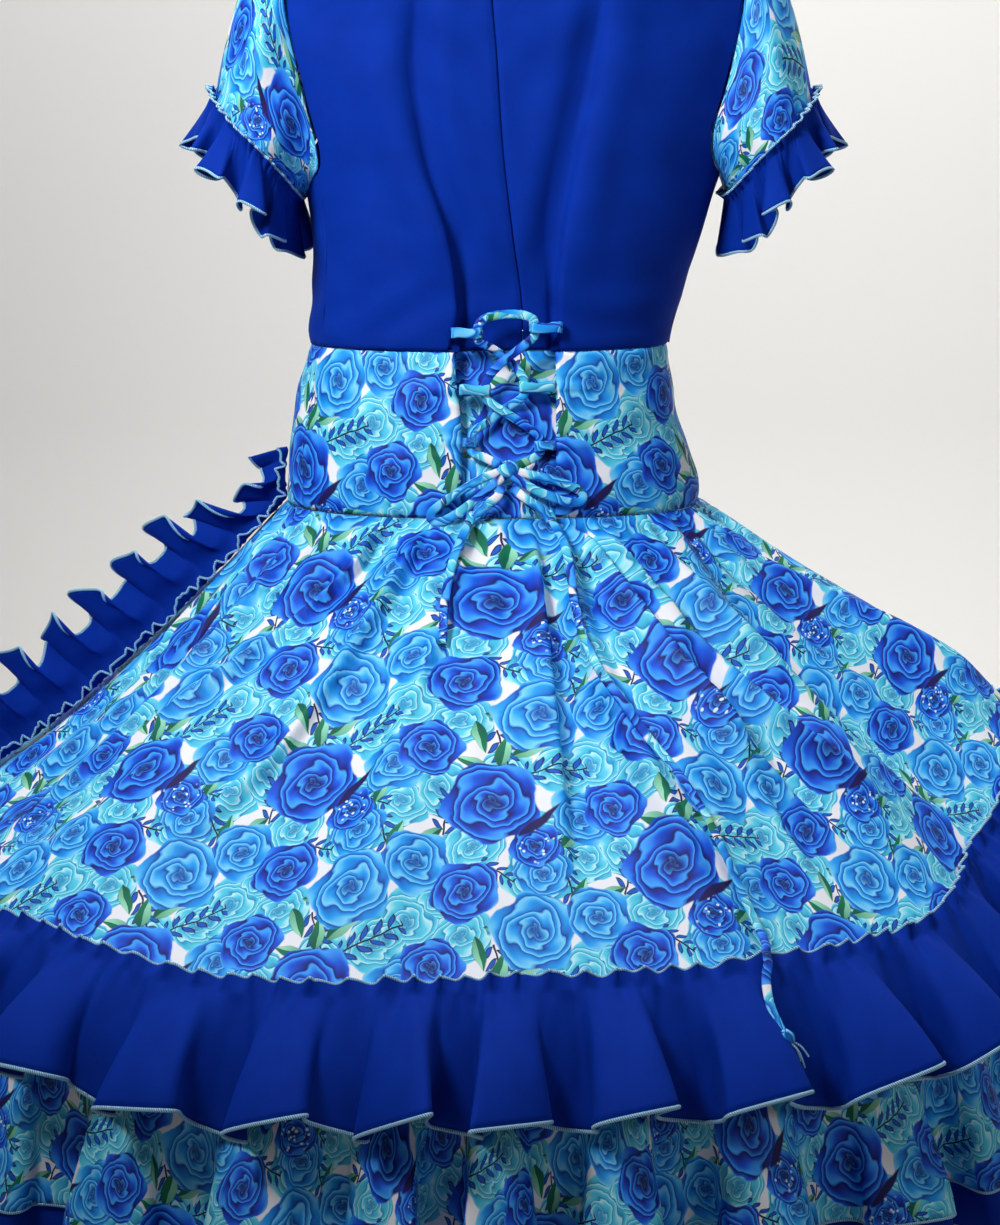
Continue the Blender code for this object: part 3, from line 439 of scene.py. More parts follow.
    @staticmethod
    def hanging(far: Grid, length: float, start_lean: Value, end_lean: float) -> tuple[Grid, Grid]:
        """How far out and down cloth hangs that starts at one lean and eases to another."""
        share = np.maximum(far / length, 0.0)
        lean = np.radians(lerp(start_lean, end_lean, 0.5 * share**1.3))
        return np.sin(lean) * far, np.cos(lean) * far

    @classmethod
    def ruffle_hang(cls, far: Grid, fall: Grid) -> tuple[Grid, Grid]:
        """How far out and down the first ruffle hangs below a skirt that falls this way."""
        slope = np.degrees(np.arctan2(np.hypot(fall[:, 0], fall[:, 1]), -fall[:, 2]))
        return cls.hanging(far, RUFFLE_DEPTH, slope + RUFFLE_KICK, RUFFLE_LEAN)

    @staticmethod
    def wave_at(degrees: Grid, waves: int, uneven: float) -> Grid:
        """The phase of a ruffle's wave; its spacing is a little uneven."""
        turn = np.radians(degrees)
        return waves * turn + uneven * np.sin(3.0 * turn + 0.7) + uneven * np.sin(7.0 * turn)


@dataclass(frozen=True)
class Mesh:
    """A grid of points with the flat cloth's coordinates in metres."""

    points: Grid
    flat: Grid

    def normals(self) -> Grid:
        """A normal at each point, found from its neighbours."""
        along = np.gradient(self.points, axis=1)
        down = np.gradient(self.points, axis=0)
        return unit(np.cross(down, along))


def arc_lengths(points: Grid) -> Grid:
    """The distance walked along a line of points."""
    steps = np.linalg.norm(np.diff(points, axis=0), axis=-1)
    return np.concatenate([[0.0], np.cumsum(steps)])


def wobble(t: Value, *parts: tuple[float, float, float]) -> Grid:
    """A sum of sines, used where a spacing or a size is uneven.

    Args:
        t: Places, in turns.
        parts: The number of waves in a turn, their phase and their size.

    Returns:
        The sum.
    """
    return sum(size * np.sin(2.0 * math.pi * waves * t + phase) for waves, phase, size in parts)


def srgb(red: int, green: int, blue: int) -> Colour:
    """A colour given as on a screen, made linear."""
    shown = (red, green, blue)
    return (*(((c / 255.0 + 0.055) / 1.055) ** 2.4 if c > 10 else c / 3294.6 for c in shown), 1.0)


class Wiring:
    """Adds nodes to a tree and joins them; a value is a number, a tuple or a socket."""

    def __init__(self, tree: bpy.types.NodeTree) -> None:
        """Takes the tree that the nodes go into."""
        self.tree = tree

    def add(self, kind: str, *values: Any, **settings: Any) -> bpy.types.Node:
        """Adds a node.

        Args:
            kind: The node's type, without its ShaderNode prefix.
            values: What goes into its inputs in order; None leaves one as it is.
            settings: Its properties.

        Returns:
            The node.
        """
        node = self.tree.nodes.new(kind if kind.startswith("Node") else "ShaderNode" + kind)
        for key, value in settings.items():
            setattr(node, key, value)
        for socket, value in zip(node.inputs, values):
            self.put(value, socket)
        return node

    def put(self, value: Any, socket: bpy.types.NodeSocket) -> None:
        """Joins a value to an input."""
        if isinstance(value, bpy.types.NodeSocket):
            self.tree.links.new(value, socket)
        elif value is not None:
            socket.default_value = value

    def math(self, operation: str, *values: Any, clamp: bool = False) -> Socket:
        """A Math node's result."""
        return self.add("Math", *values, operation=operation, use_clamp=clamp).outputs[0]

    def vector(self, operation: str, *values: Any) -> Socket:
        """A Vector Math node's result."""
        node = self.add("VectorMath", *values, operation=operation)
        return node.outputs["Value" if operation in ("LENGTH", "DOT_PRODUCT") else "Vector"]

    def scaled(self, vector: Socket, factor: Any) -> Socket:
        """A vector times a number."""
        node = self.add("VectorMath", vector, operation="SCALE")
        self.put(factor, node.inputs["Scale"])
        return node.outputs["Vector"]

    def step(self, value: Any, low: float, high: float) -> Socket:
        """A smooth step from 0 at low to 1 at high."""
        node = self.add("MapRange", value, low, high, 0.0, 1.0, interpolation_type="SMOOTHSTEP")
        return node.outputs["Result"]

    def mix(self, factor: Any, first: Any, second: Any, kind: str = "RGBA") -> Socket:
        """A mix of two colours, vectors or numbers."""
        ends = {"RGBA": "Color", "VECTOR": "Vector", "FLOAT": "Float"}[kind]
        node = self.add("Mix", data_type=kind)
        for name, value in (("Factor_Float", factor), (f"A_{ends}", first), (f"B_{ends}", second)):
            self.put(value, next(s for s in node.inputs if s.identifier == name))
        return next(s for s in node.outputs if s.identifier == f"Result_{ends}")

    def ramp(self, factor: Socket, stops: Sequence[tuple[float, Colour]]) -> Socket:
        """A Color Ramp's colour."""
        node = self.add("ValToRGB", factor)
        elements = node.color_ramp.elements
        while len(elements) < len(stops):
            elements.new(0.5)
        for element, (place, colour) in zip(elements, stops):
            element.position = place
            element.color = colour
        return node.outputs["Color"]

    def noise(self, vector: Socket, scale: float, detail: float) -> Socket:
        """A Noise Texture's value."""
        return self.add("TexNoise", vector, None, scale, detail).outputs[0]


def make_group(
    name: str, takes: Sequence[tuple[str, str]], gives: Sequence[tuple[str, str]]
) -> tuple[Wiring, dict[str, Socket], bpy.types.Node]:
    """A node group with its sockets, and the wiring inside it.

    Args:
        name: The group's name.
        takes: The name and kind of each input.
        gives: The name and kind of each output.

    Returns:
        The wiring, the group's inputs by name, and its output node.
    """
    tree = bpy.data.node_groups.new(name, "ShaderNodeTree")
    for way, sockets in (("INPUT", takes), ("OUTPUT", gives)):
        for socket, kind in sockets:
            tree.interface.new_socket(socket, in_out=way, socket_type="NodeSocket" + kind)
    wires = Wiring(tree)
    start, end = wires.add("NodeGroupInput"), wires.add("NodeGroupOutput")
    return wires, {s.name: s for s in start.outputs if s.name}, end


class RosePrint:
    """The rose print: roses in three blues, green leaves and navy sprigs on an off-white ground."""

    TILE_WIDTH = 0.13
    TILE_HEIGHT = 0.18
    DROP = 0.045
    FIRST_ROSE = (-0.004, -0.463, 0.0)
    GROUND = srgb(230, 232, 240)

    # Roses as x, y, radius and turn on the flat cloth; y goes down
    BRIGHT = ((0.0, 0.0, 0.036, 10), (-0.019, 0.073, 0.026, 80), (-0.043, 0.131, 0.0245, 200))
    SKY = (
        (0.031, 0.105, 0.033, 30), (-0.0535, 0.047, 0.0265, 150), (0.063, 0.008, 0.025, 260),
        (0.036, 0.058, 0.0215, 320),
    )
    PALE = (
        (0.033, 0.06, 0.028, 0), (-0.014, 0.038, 0.023, 120), (0.056, 0.15, 0.024, 60),
        (-0.06, 0.094, 0.027, 240), (0.008, 0.158, 0.024, 20), (-0.022, 0.108, 0.024, 300),
        (-0.036, -0.014, 0.026, 200), (0.036, 0.028, 0.021, 90), (0.046, -0.026, 0.022, 150),
        (-0.04, 0.078, 0.018, 50), (0.067, 0.042, 0.024, 10),
    )
    # Leaves as x, y, turn, length and width
    LEAVES = (
        (0.004, 0.15, -80, 0.03, 0.42), (0.012, 0.142, -30, 0.034, 0.4), (-0.002, 0.15, -155, 0.026, 0.4),
        (-0.012, 0.108, 75, 0.03, 0.36), (-0.006, 0.102, 15, 0.022, 0.36),
        (0.058, 0.086, -70, 0.03, 0.38), (0.056, 0.086, 25, 0.024, 0.38), (0.048, 0.04, -60, 0.024, 0.4),
        (-0.034, 0.02, 150, 0.028, 0.38),
    )
    # Sprigs as x, y, turn, length, spacing and leaflet length
    SPRIGS = (
        (0.024, 0.156, -20, 0.046, 0.01, 0.0105), (-0.034, 0.026, -80, 0.04, 0.009, 0.0095),
        (0.052, 0.056, 75, 0.042, 0.009, 0.0095), (0.002, 0.116, 78, 0.04, 0.0095, 0.01),
        (-0.008, 0.052, 30, 0.028, 0.0075, 0.008), (-0.064, 0.118, 105, 0.04, 0.009, 0.0095),
        (0.036, 0.026, 40, 0.03, 0.008, 0.0085),
    )
    RIBBON = (0.017, 0.03, -42, 0.042, 0.2)
    DOTTED = (0.03, 0.036, 0.019, 0)

    def __init__(self) -> None:
        """Makes the node groups, the whole print last."""
        self.wrap = self._lattice()
        self.nearest = self._nearest()
        self.petals = self._petals()
        self.leaf = self._leaf()
        self.sprig = self._sprig()
        self.group = self._print()

    @classmethod
    def _lattice(cls) -> Tree:
        """Brings an offset to the nearest place of the repeat."""
        wires, take, end = make_group("lattice", [("Offset", "Vector")], [("Offset", "Vector")])
        parts = wires.add("SeparateXYZ", take["Offset"]).outputs
        column = wires.math("ROUND", wires.math("DIVIDE", parts[0], cls.TILE_WIDTH))
        x = wires.math("MULTIPLY_ADD", column, -cls.TILE_WIDTH, parts[0])
        y = wires.math("MULTIPLY_ADD", column, -cls.DROP, parts[1])
        row = wires.math("ROUND", wires.math("DIVIDE", y, cls.TILE_HEIGHT))
        y = wires.math("MULTIPLY_ADD", row, -cls.TILE_HEIGHT, y)
        wires.put(wires.add("CombineXYZ", x, y).outputs[0], end.inputs[0])
        return wires.tree

    def _local(self, wires: Wiring, take: dict[str, Socket]) -> Socket:
        """The offset from a motif's middle, wrapped and turned."""
        offset = wires.vector("SUBTRACT", take["Place"], take["Middle"])
        wrapped = wires.add("Group", node_tree=self.wrap)
        wires.put(offset, wrapped.inputs[0])
        spun = wires.add("VectorRotate", wrapped.outputs[0], rotation_type="Z_AXIS")
        wires.put(take["Turn"], spun.inputs["Angle"])
        return spun.outputs[0]

    def _nearest(self) -> Tree:
        """Keeps the nearer of two roses: the place on it and how far out that is."""
        takes = [("Place", "Vector"), ("Middle", "Vector"), ("Radius", "Float"), ("Turn", "Float")]
        both = [("Local", "Vector"), ("Far", "Float")]
        wires, take, end = make_group("nearest rose", takes + both, both)
        scaled = wires.scaled(self._local(wires, take), wires.math("DIVIDE", 1.0, take["Radius"]))
        far = wires.vector("LENGTH", scaled)
        nearer = wires.math("LESS_THAN", far, take["Far"])
        wires.put(wires.mix(nearer, take["Local"], scaled, "VECTOR"), end.inputs[0])
        wires.put(wires.math("MINIMUM", far, take["Far"]), end.inputs[1])
        return wires.tree

    @staticmethod
    def _petals() -> Tree:
        """Swirled petals: how far across its petal a point is, and whether it is on the rose."""
        gives = [("Petal", "Float"), ("Inside", "Float"), ("Heart", "Float")]
        wires, take, end = make_group("petals", [("Local", "Vector")], gives)
        grain = wires.add("TexNoise", take["Local"], None, 1.7, 2.0).outputs["Color"]
        bent = wires.vector("MULTIPLY_ADD", grain, (0.26, 0.26, 0.0), take["Local"])
        bent = wires.vector("SUBTRACT", bent, (0.13, 0.13, 0.0))
        parts = wires.add("SeparateXYZ", bent).outputs
        far = wires.vector("LENGTH", bent)
        angle = wires.math("ARCTAN2", parts[1], parts[0])
        rings = wires.math("MULTIPLY", wires.math("POWER", far, 0.7), 5.4)
        tripled = wires.math("MULTIPLY", angle, 3.0)
        lobes = wires.math("SINE", wires.math("MULTIPLY_ADD", rings, 2.6, tripled))
        swirl = wires.math("MULTIPLY_ADD", angle, 1.0 / (2.0 * math.pi), rings)
        swirl = wires.math("MULTIPLY_ADD", lobes, 0.34, swirl)
        wires.put(wires.math("FRACT", wires.math("ADD", swirl, 8.0)), end.inputs[0])
        scallop = wires.math("SINE", wires.math("MULTIPLY", angle, 5.0))
        limit = wires.math("MULTIPLY_ADD", scallop, 0.07, 0.97)
        wires.put(wires.step(wires.math("SUBTRACT", limit, far), 0.0, 0.05), end.inputs[1])
        wires.put(wires.step(far, 0.34, 0.06), end.inputs[2])
        return wires.tree

    def _leaf(self) -> Tree:
        """Lays one leaf over the others: its mask, and its shade from the base to the tip."""
        takes = [("Place", "Vector"), ("Middle", "Vector"), ("Turn", "Float")]
        takes += [("Length", "Float"), ("Width", "Float"), ("Mask", "Float"), ("Shade", "Float")]
        wires, take, end = make_group("leaf", takes, [("Mask", "Float"), ("Shade", "Float")])
        local = wires.scaled(self._local(wires, take), wires.math("DIVIDE", 1.0, take["Length"]))
        parts = wires.add("SeparateXYZ", local).outputs
        along = wires.math("MULTIPLY", parts[0], 1.0, clamp=True)
        bow = wires.math("SINE", wires.math("MULTIPLY", wires.math("POWER", along, 0.8), math.pi))
        half = wires.math("MULTIPLY", bow, wires.math("MULTIPLY", take["Width"], 0.5))
        off = wires.math("SUBTRACT", half, wires.math("ABSOLUTE", parts[1]))
        mask = wires.step(off, 0.0, 0.035)
        side = wires.step(parts[1], -0.02, 0.02)
        vein = wires.step(wires.math("ABSOLUTE", parts[1]), 0.004, 0.022)
        shade = wires.math("MULTIPLY_ADD", side, 0.45, wires.math("MULTIPLY", along, 0.45))
        shade = wires.math("MULTIPLY", shade, wires.math("MULTIPLY_ADD", vein, 0.6, 0.4))
        wires.put(wires.math("MAXIMUM", mask, take["Mask"]), end.inputs[0])
        wires.put(wires.mix(mask, take["Shade"], shade, "FLOAT"), end.inputs[1])
        return wires.tree

    def _sprig(self) -> Tree:
        """Lays a stem with paired leaflets over the others: its mask and the leaflets' middles."""
        takes = [("Place", "Vector"), ("Middle", "Vector"), ("Turn", "Float"), ("Length", "Float")]
        takes += [("Pitch", "Float"), ("Leaflet", "Float"), ("Mask", "Float"), ("Core", "Float")]
        wires, take, end = make_group("sprig", takes, [("Mask", "Float"), ("Core", "Float")])
        parts = wires.add("SeparateXYZ", self._local(wires, take)).outputs
        across = wires.math("ABSOLUTE", parts[1])
        side = wires.math("MULTIPLY", wires.math("GREATER_THAN", parts[1], 0.0), 0.4)
        slanted = wires.math("MULTIPLY_ADD", across, -0.85, parts[0])
        cell = wires.math("FRACT", wires.math("ADD", wires.math("DIVIDE", slanted, take["Pitch"]), side))
        off = wires.math("ABSOLUTE", wires.math("SUBTRACT", cell, 0.5))
        reach = wires.math("DIVIDE", across, take["Leaflet"], clamp=True)
        half = wires.math("MULTIPLY", wires.math("SINE", wires.math("MULTIPLY", reach, math.pi)), 0.34)
        spare = wires.math("SUBTRACT", half, off)
        begun = wires.math("GREATER_THAN", parts[0], 0.0)
        ended = wires.math("LESS_THAN", parts[0], take["Length"])
        on = wires.math("MULTIPLY", begun, ended)
        stem = wires.step(across, 0.0009, 0.0004)
        mask = wires.math("MULTIPLY", wires.math("MAXIMUM", wires.step(spare, 0.0, 0.08), stem), on)
        core = wires.math("MULTIPLY", wires.step(spare, 0.1, 0.2), on)
        wires.put(wires.math("MAXIMUM", mask, take["Mask"]), end.inputs[0])
        wires.put(wires.math("MAXIMUM", core, take["Core"]), end.inputs[1])
        return wires.tree

    def _chain(self, wires: Wiring, tree: Tree, place: Socket, motifs: Sequence) -> Any:
        """Passes the running result through one group node for each motif."""
        last = None
        for x, y, *rest in motifs:
            node = wires.add("Group", node_tree=tree)
            wires.put(place, node.inputs["Place"])
            node.inputs["Middle"].default_value = (x, y, 0.0)
            values = dict(zip([s.name for s in node.inputs][2:], rest))
            if tree is self.nearest:
                values = {"Radius": rest[0], "Turn": math.radians(-rest[1])}
            else:
                values["Turn"] = math.radians(-rest[0])
            for name, value in values.items():
                node.inputs[name].default_value = value
            if last is None and tree is self.nearest:
                node.inputs["Far"].default_value = 9.0
            if last is not None:
                for index in range(2):
                    name = last.outputs[index].name
                    wires.put(last.outputs[index], node.inputs[name])
            last = node
        return last.outputs

    def _rose(self, wires: Wiring, place: Socket, motifs: Sequence, stops: Sequence, under: Any) -> Socket:
        """Lays one colour's roses over what is there."""
        near = self._chain(wires, self.nearest, place, motifs)
        rose = wires.add("Group", node_tree=self.petals)
        wires.put(near["Local"], rose.inputs[0])
        colour = wires.ramp(rose.outputs["Petal"], stops)
        colour = wires.mix(wires.math("MULTIPLY", rose.outputs["Heart"], 0.75), colour, stops[0][1])
        return wires.mix(rose.outputs["Inside"], under, colour)

    def _print(self) -> Tree:
        """The whole print, from the pale roses at the back to the ribbon leaf in front."""
        wires, take, end = make_group("rose print", [("Place", "Vector")], [("Colour", "Color")])
        grain = wires.add("TexNoise", take["Place"], None, 60.0, 1.0).outputs["Color"]
        place = wires.vector("MULTIPLY_ADD", take["Place"], (1.0, -1.0, 0.0), self.FIRST_ROSE)
        place = wires.vector("MULTIPLY_ADD", grain, (0.005, 0.005, 0.0), place)
        pale = (
            (0.0, srgb(20, 128, 186)),
            (0.2, srgb(62, 182, 218)),
            (0.6, srgb(86, 204, 232)),
            (0.93, srgb(184, 236, 244)),
            (1.0, srgb(62, 178, 216)),
        )
        sky = (
            (0.0, srgb(0, 54, 150)),
            (0.16, srgb(4, 112, 206)),
            (0.5, srgb(24, 156, 238)),
            (0.88, srgb(118, 208, 248)),
            (1.0, srgb(14, 120, 214)),
        )
        bright = (
            (0.0, srgb(2, 8, 78)),
            (0.16, srgb(0, 40, 160)),
            (0.5, srgb(0, 88, 220)),
            (0.9, srgb(60, 164, 250)),
            (1.0, srgb(0, 52, 176)),
        )
        colour = self._rose(wires, place, self.PALE, pale, self.GROUND)
        sprigs = self._chain(wires, self.sprig, place, self.SPRIGS)
        inked = wires.mix(sprigs["Core"], srgb(14, 14, 62), srgb(0, 86, 196))
        colour = wires.mix(sprigs["Mask"], colour, inked)
        leaves = self._chain(wires, self.leaf, place, self.LEAVES)
        greens = ((0.0, srgb(0, 78, 66)), (0.35, srgb(0, 118, 84)), (0.8, srgb(150, 222, 190)))
        green = wires.ramp(leaves["Shade"], greens)
        colour = wires.mix(leaves["Mask"], colour, green)
        colour = self._rose(wires, place, self.SKY, sky, colour)
        colour = self._rose(wires, place, (self.DOTTED,), bright, colour)
        spots = wires.add("TexVoronoi", place, None, 230.0, feature="F1")
        spot = wires.step(spots.outputs["Distance"], 0.3, 0.2)
        near = self._chain(wires, self.nearest, place, (self.DOTTED,))
        spot = wires.math("MULTIPLY", spot, wires.step(near["Far"], 0.85, 0.6))
        colour = wires.mix(spot, colour, srgb(214, 238, 252))
        colour = self._rose(wires, place, self.BRIGHT, bright, colour)
        ribbon = self._chain(wires, self.leaf, place, (self.RIBBON,))
        colour = wires.mix(ribbon["Mask"], colour, srgb(22, 12, 84))
        wires.put(colour, end.inputs[0])
        return wires.tree


class Finish(Enum):
    """The dress's cloths and its edge thread."""

    CREPE = "blue_crepe"
    PRINT = "rose_print"
    THREAD = "edge_thread"


class Materials:
    """Makes one material for each finish."""

    def __init__(self) -> None:
        """Makes the shared node groups and then the materials."""
        self.rose_print = RosePrint()
        self.weave = self._weave()
        self.made = {
            Finish.CREPE: self._crepe(),
            Finish.PRINT: self._printed(),
            Finish.THREAD: self._thread(),
        }

    @staticmethod
    def _weave() -> Tree:
        """A fine crepe surface and a faint unevenness of the dye."""
        gives = [("Height", "Float"), ("Dye", "Float")]
        wires, take, end = make_group("weave", [("Place", "Vector")], gives)
        pebble = wires.noise(take["Place"], 1500.0, 3.0)
        slub = wires.noise(wires.vector("MULTIPLY", take["Place"], (1.0, 7.0, 1.0)), 260.0, 2.0)
        wires.put(wires.math("MULTIPLY_ADD", slub, 0.6, pebble), end.inputs[0])
        wires.put(wires.noise(take["Place"], 34.0, 3.0), end.inputs[1])
        return wires.tree

    @staticmethod
    def _start(name: str) -> tuple[bpy.types.Material, Wiring, Socket, bpy.types.Node]:
        """A new material, its wiring, its flat coordinates and its shader."""
        material = bpy.data.materials.new(name)
        material.use_nodes = True
        wires = Wiring(material.node_tree)
        place = wires.add("UVMap", uv_map="flat").outputs[0]
        return material, wires, place, material.node_tree.nodes["Principled BSDF"]

    @staticmethod
    def _tuned(node: bpy.types.Node, values: dict[str, Any]) -> None:
        """Sets a node's inputs by name."""
        for name, value in values.items():
            node.inputs[name].default_value = value

    def _surface(self, wires: Wiring, place: Socket, shader: bpy.types.Node, strength: float) -> Socket:
        """Gives a cloth its crepe surface; the dye's unevenness comes back."""
        weave = wires.add("Group", node_tree=self.weave)
        wires.put(place, weave.inputs[0])
        bump = wires.add("Bump")
        self._tuned(bump, {"Strength": strength, "Distance": 0.0003})
        wires.put(weave.outputs["Height"], bump.inputs["Height"])
        wires.put(bump.outputs[0], shader.inputs["Normal"])
        return weave.outputs["Dye"]

    def _crepe(self) -> bpy.types.Material:
        """Plain blue crepe."""
        material, wires, place, shader = self._start("blue crepe")
        dye = self._surface(wires, place, shader, 0.5)
        colour = wires.mix(dye, srgb(0, 36, 132), srgb(0, 48, 158))
        wires.put(colour, shader.inputs["Base Color"])
        self._tuned(shader, {"Roughness": 0.78, "Specular IOR Level": 0.08, "Sheen Weight": 0.06})
        self._tuned(shader, {"Sheen Roughness": 0.5, "Sheen Tint": srgb(60, 120, 255)})
        return material

    def _printed(self) -> bpy.types.Material:
        """The print cloth."""
        material, wires, place, shader = self._start("rose print cloth")
        self._surface(wires, place, shader, 0.35)
        roses = wires.add("Group", node_tree=self.rose_print.group)
        wires.put(place, roses.inputs[0])
        wires.put(roses.outputs[0], shader.inputs["Base Color"])
        self._tuned(shader, {"Roughness": 0.62, "Specular IOR Level": 0.3})
        return material

    def _thread(self) -> bpy.types.Material:
        """Light blue overlock thread, ridged by its stitches, with painted shade: darker in the grooves
        between the ridges and lighter on their crests.
        """
        material, wires, place, shader = self._start("edge thread")
        parts = wires.add("SeparateXYZ", place).outputs
        slant = wires.math("MULTIPLY", parts[1], 1500.0)
        ridges = wires.math("SINE", wires.math("MULTIPLY_ADD", parts[0], 3900.0, slant))
        ridge_height_and_shade = wires.step(ridges, -1.0, 1.0)
        # Painted shade: the thread's colour follows the ridges, darker in the grooves between stitches and
        # lighter on the crests
        wires.put(wires.mix(ridge_height_and_shade, srgb(88, 150, 196), srgb(176, 218, 236)), shader.inputs["Base Color"])
        bump = wires.add("Bump")
        bump.inputs["Distance"].default_value = 0.0004
        wires.put(ridge_height_and_shade, bump.inputs["Height"])
        wires.put(bump.outputs[0], shader.inputs["Normal"])
        shader.inputs["Roughness"].default_value = 0.6
        return material


class Held(Enum):
    """What holds a piece of cloth in its shape."""

    HUNG = "hung"
    GATHERED = "gathered"
    STRETCHED = "stretched"


@dataclass(frozen=True)
class Cut:
    """The size a piece was cut to, in metres; area is given where it isn't a rectangle."""

    width: float
    length: float
    held: Held
    area: float | None = None


class Tailor:
    """Makes the pieces and hangs each on the frame."""

    def __init__(self, materials: Materials) -> None:
        """Takes the materials that the pieces are made of."""
        self.materials = materials

    def surface(self, name: str, mesh: Mesh, finish: Finish, welded: bool = False) -> bpy.types.Object:
        """A grid of faces through a mesh's points, with the flat cloth's coordinates.

        Args:
            name: The piece's name.
            mesh: Its points.
            finish: What it is made of.
            welded: Whether edges that meet are joined.

        Returns:
            The object, riding on the dress.
        """
        rows, columns = mesh.points.shape[:2]
        data = bpy.data.meshes.new(name)
        grid = bmesh.new()
        bmesh.ops.create_grid(grid, x_segments=columns - 1, y_segments=rows - 1, size=0.5)
        points, flat = mesh.points.reshape(-1, 3), mesh.flat.reshape(-1, 2)
        for vertex, point in zip(grid.verts, points.tolist()):
            vertex.co = point
        places = flat.tolist()
        layer = grid.loops.layers.uv.new("flat")
        for face in grid.faces:
            face.smooth = True
            for loop in face.loops:
                loop[layer].uv = places[loop.vert.index]
        if welded:
            bmesh.ops.remove_doubles(grid, verts=grid.verts, dist=0.000002)
        grid.to_mesh(data)
        grid.free()
        piece = bpy.data.objects.new(name, data)
        bpy.context.scene.collection.objects.link(piece)
        data.materials.append(self.materials.made[finish])
        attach(piece, "root")
        return piece

    @staticmethod
    def thicken(piece: bpy.types.Object, thickness: float) -> None:
        """Gives a surface its thickness, half on each side."""
        shell = piece.modifiers.new("thickness", "SOLIDIFY")
        shell.thickness, shell.offset = thickness, 0.0

    def cloth(
        self, name: str, mesh: Mesh, finish: Finish, cut: Cut, nodes: Sequence[str], welded: bool = False
    ) -> bpy.types.Object:
        """A thin shell of cloth that stands for CAD nodes."""
        piece = self.surface(name, mesh, finish, welded)
        self.thicken(piece, CLOTH)
        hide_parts(*nodes)
        return piece

    def tube(
        self, name: str, line: Grid, facing: Grid, finish: Finish, half: tuple[float, float], sides: int = 6
    ) -> bpy.types.Object:
        """A tube along a line, wider one way than the other where half's values differ.

        Args:
            name: The piece's name.
            line: The points along its middle.
            facing: The way its flat side faces at each point.
            finish: What it is made of.
            half: Half its width and half its thickness.
            sides: The number of faces round it.

        Returns:
            The object.
        """
        ahead = unit(np.gradient(line, axis=0))
        across = unit(np.cross(ahead, facing))
        normal = np.cross(across, ahead)
        around = np.linspace(0.0, 2.0 * math.pi, sides + 1)[:, None, None]
        points = line + half[0] * np.cos(around) * across + half[1] * np.sin(around) * normal
        walked = np.broadcast_to(arc_lengths(line), points.shape[:2])
        girth = np.broadcast_to(around[:, :, 0] * sum(half) / 2.0, points.shape[:2])
        return self.surface(name, Mesh(points, np.stack([walked, girth], axis=-1)), finish, welded=True)

    def edging(self, name: str, mesh: Mesh, row: int, radius: float = THREAD_RADIUS) -> bpy.types.Object:
        """Overlock thread along one edge of a piece."""
        return self.tube(name, mesh.points[row], mesh.normals()[row], Finish.THREAD, (radius, radius * 0.8))


def squares(columns: int, rows: int) -> list[Grid]:
    """Places from 0 to 1 across and down an even grid."""
    return np.meshgrid(np.linspace(0.0, 1.0, columns), np.linspace(0.0, 1.0, rows))


def round_steps(back: int, front: int) -> Grid:
    """Angles right round, closer together behind, where the camera looks."""
    left = np.linspace(-180.0, -92.0, front // 2, endpoint=False)
    middle = np.linspace(-92.0, 92.0, back, endpoint=False)
    return np.concatenate([left, middle, np.linspace(92.0, 180.0, front // 2 + 1)])


def lifted(points: Grid, heights: Grid, middle: Sequence[float]) -> Grid:
    """Moves a surface's points away from a point inside it, along the surface's normals."""
    normals = Mesh(points, points[..., :2]).normals()
    outward = np.sign(((points - np.array(middle)) * normals).sum(axis=-1, keepdims=True))
    return points + normals * outward * np.asarray(heights)[..., None]


def unrolled(points: Grid, row: int | None = None) -> Grid:
    """The flat cloth's coordinates of a panel, measured along one of its rows and down its middle."""
    rows, columns = points.shape[:2]
    along = arc_lengths(points[rows // 2 if row is None else row])
    down = -arc_lengths(points[:, columns // 2])
    return np.stack(np.meshgrid(along, down), axis=-1)


